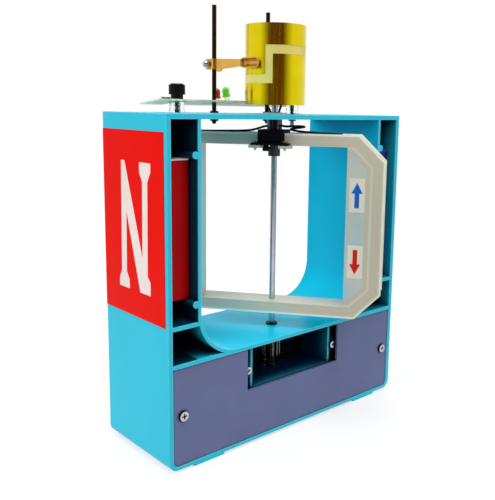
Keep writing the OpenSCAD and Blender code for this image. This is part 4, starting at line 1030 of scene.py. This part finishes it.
class GENERATOR_OT_drive(Operator):
    """Finish the gears and the hand crank"""
    bl_idname = "generator.drive"
    bl_label = "Hand drive"

    def execute(self, context):
        colours = context.scene.generator_finish
        handle = moulded("crank_black", colours.black, rough=0.4, gloss=0.2, grain=600.0, depth=0.1)
        steel = metal("crank_steel", colours.steel, rough=0.26)
        # Painted highlight along the pinion's tooth edges
        pinion = metal(
            "highlighted_pinion", scaled(colours.sleeve, 0.35), rough=0.36, stretch=(40.0, 40.0, 700.0), dark=1.0,
            highlighted=colours.steel)
        dress(pinion, "drive_pinion")
        dress(moulded("crown_black", colours.black, rough=0.45), "crown_wheel")
        dress(handle, "crank_arm", "crank_knob")
        dress(steel, "crank_shaft", "crank_screw", "crank_pin")
        return {"FINISHED"}


class GENERATOR_OT_studio(Operator):
    """Set the floor, the light and the camera"""
    bl_idname = "generator.studio"
    bl_label = "Studio"

    def execute(self, context):
        studio = context.scene.generator_studio
        floor_and_sky(studio)
        soft_box("key_light", studio.key, size=0.9, place=(-1.2, 0.84, 0.75))
        soft_box("fill_light", studio.fill, size=0.7, place=(0.95, -1.05, 0.3))
        soft_box("top_light", studio.top, size=0.8, place=(-0.1, -0.35, 1.5), mirrored=True)
        soft_box("front_light", studio.front, size=1.0, place=(-0.95, -0.8, 0.75))
        soft_box("back_light", studio.back, size=0.9, place=(1.0, 1.0, 0.85))
        dark_card(studio)
        photo_camera(studio)
        context.scene.view_settings.view_transform = "Standard"
        return {"FINISHED"}


# Studio

def background_share(tree):
    """1 for rays that should see the plain white background, and 0 for the light on the object."""
    path = tree.nodes.new("ShaderNodeLightPath")
    first = tree.nodes.new("ShaderNodeMath")
    second = tree.nodes.new("ShaderNodeMath")
    for node in (first, second):
        node.operation = "MAXIMUM"
    wire(
        tree, (path, "Is Camera Ray", first, 0), (path, "Is Glossy Ray", first, 1), (first, 0, second, 0),
        (path, "Is Transmission Ray", second, 1))
    return second.outputs[0]


def floor_and_sky(studio):
    """A white world and a wide pale floor that keeps the object's shadow."""
    world = bpy.data.worlds.new("studio_white")
    bpy.context.scene.world = world
    world.use_nodes = True
    tree = world.node_tree
    sky = tree.nodes["Background"]
    level = tree.nodes.new("ShaderNodeMapRange")
    level.inputs["To Min"].default_value = studio.ambient
    level.inputs["To Max"].default_value = 1.0
    tree.links.new(background_share(tree), level.inputs["Value"])
    sky.inputs["Color"].default_value = (1.0, 1.0, 1.0, 1.0)
    tree.links.new(level.outputs["Result"], sky.inputs["Strength"])
    work = bmesh.new()
    bmesh.ops.create_grid(work, x_segments=2, y_segments=2, size=FLOOR_SIZE)
    bmesh.ops.translate(work, verts=work.verts, vec=(0.0, 0.0, cad_box[0].z - FLOOR_GAP))
    mesh = made("floor", work)
    floor = put("floor", mesh)
    kit = FinishTree("floor_white")
    away = kit.add("ShaderNodeVectorMath", {0: kit.coords}, operation="LENGTH").outputs["Value"]
    level = kit.spread(away, 0.58, 1.0, *FLOOR_FADE)
    far = kit.spread(away, 0.0, 1.0, *FLOOR_FADE)
    mesh.materials.append(kit.shade({
        "Base Color": kit.tone(far, (0.5, 0.5, 0.5, 1.0), (0.0, 0.0, 0.0, 1.0)),
        "Roughness": 0.9,
        "Specular IOR Level": 0.0,
        "Emission Color": (1.0, 1.0, 1.0, 1.0),
        "Emission Strength": kit.calc("MULTIPLY", background_share(kit.tree), level),
    }))


def dark_card(studio):
    """A dark curved card in front of the object, seen only in reflections, that darkens the brass."""
    def on_card(angle):
        return CARD_RADIUS * math.sin(angle), -CARD_RADIUS * math.cos(angle)

    middle = math.atan2(studio.eye[0], -studio.eye[1]) + CARD_TURN
    work = bmesh.new()
    columns = []
    for step in range(CARD_STEPS + 1):
        place = on_card(middle + CARD_REACH * (2 * step / CARD_STEPS - 1))
        columns.append([work.verts.new((*place, z)) for z in CARD_Z])
    for first, second in zip(columns, columns[1:]):
        work.faces.new((first[0], second[0], second[1], first[1]))
    mesh = made("dark_card", work)
    card = put("dark_card", mesh)
    kit = FinishTree("dark_card")
    squares = []
    for value, centre in zip(kit.axes(), on_card(middle)):
        side = kit.calc("SUBTRACT", value, centre)
        squares.append(kit.calc("MULTIPLY", side, side))
    away = kit.calc("SQRT", kit.calc("ADD", *squares))
    share = kit.spread(away, 0.0, 1.0, *CARD_FADE)
    mesh.materials.append(kit.shade({
        "Base Color": (0.0, 0.0, 0.0, 1.0),
        "Specular IOR Level": 0.0,
        "Emission Color": kit.tone(share, CARD_DARK, CARD_PALE),
        "Emission Strength": 1.0,
    }))
    card.visible_camera = False
    card.visible_diffuse = False
    card.visible_transmission = False
    card.visible_shadow = False


def soft_box(name, power, size, place, mirrored=False):
    """A square soft light aimed at the middle of the object, and whether shiny surfaces mirror it."""
    light = bpy.data.lights.new(name, "AREA")
    light.energy = power
    light.size = size
    lamp = put(name, light)
    middle = (cad_box[0] + cad_box[1]) / 2
    lamp.location = place
    lamp.visible_glossy = mirrored
    lamp.rotation_euler = (middle - Vector(place)).to_track_quat("-Z", "Y").to_euler()


def photo_camera(studio):
    """The camera, at the place and with the lens that fit the object's size."""
    data = bpy.data.cameras.new("photo_camera")
    data.lens = studio.lens
    data.sensor_width = 36.0
    data.shift_x = studio.shift_x
    data.shift_y = studio.shift_y
    data.clip_start = 0.01
    data.clip_end = 50.0
    camera = put("photo_camera", data)
    ahead = Vector((
        math.sin(studio.turn) * math.cos(studio.dip),
        math.cos(studio.turn) * math.cos(studio.dip),
        -math.sin(studio.dip)))
    level = Vector((math.cos(studio.turn), -math.sin(studio.turn), 0.0))
    upright = level.cross(ahead)
    across = level * math.cos(studio.roll) + upright * math.sin(studio.roll)
    up = upright * math.cos(studio.roll) - level * math.sin(studio.roll)
    camera.matrix_world = facing(studio.eye, across, up)
    bpy.context.scene.camera = camera


# Add-on

OPERATORS = (
    GENERATOR_OT_body, GENERATOR_OT_magnets, GENERATOR_OT_letters, GENERATOR_OT_coil, GENERATOR_OT_arrows,
    GENERATOR_OT_rotor, GENERATOR_OT_commutator, GENERATOR_OT_brushes, GENERATOR_OT_fasteners,
    GENERATOR_OT_terminals, GENERATOR_OT_board, GENERATOR_OT_threads, GENERATOR_OT_drive, GENERATOR_OT_studio)
SETTINGS = {
    "generator_finish": FinishSettings, "generator_marks": MarkSettings,
    "generator_threads": ThreadSettings, "generator_studio": StudioSettings}


class GENERATOR_PT_sidebar(Panel):
    """The steps that dress the model, in order"""
    bl_idname = "GENERATOR_PT_sidebar"
    bl_label = "Generator demonstrator"
    bl_space_type = "VIEW_3D"
    bl_region_type = "UI"
    bl_category = "Generator"

    def draw(self, context):
        for operator in OPERATORS:
            self.layout.operator(operator.bl_idname)


def register():
    for settings in SETTINGS.values():
        bpy.utils.register_class(settings)
    for key, settings in SETTINGS.items():
        setattr(bpy.types.Scene, key, PointerProperty(type=settings))
    for operator in OPERATORS:
        bpy.utils.register_class(operator)
    bpy.utils.register_class(GENERATOR_PT_sidebar)


def unregister():
    bpy.utils.unregister_class(GENERATOR_PT_sidebar)
    for operator in reversed(OPERATORS):
        bpy.utils.unregister_class(operator)
    for key, settings in SETTINGS.items():
        delattr(bpy.types.Scene, key)
        bpy.utils.unregister_class(settings)


def main():
    """Dresses the model step by step."""
    register()
    bpy.ops.generator.studio()
    bpy.ops.generator.body()
    bpy.ops.generator.magnets()
    bpy.ops.generator.letters()
    bpy.ops.generator.coil()
    bpy.ops.generator.arrows()
    bpy.ops.generator.rotor()
    bpy.ops.generator.commutator()
    bpy.ops.generator.brushes()
    bpy.ops.generator.fasteners()
    bpy.ops.generator.terminals()
    bpy.ops.generator.board()
    bpy.ops.generator.threads()
    bpy.ops.generator.drive()


if __name__ == "__main__":
    main()
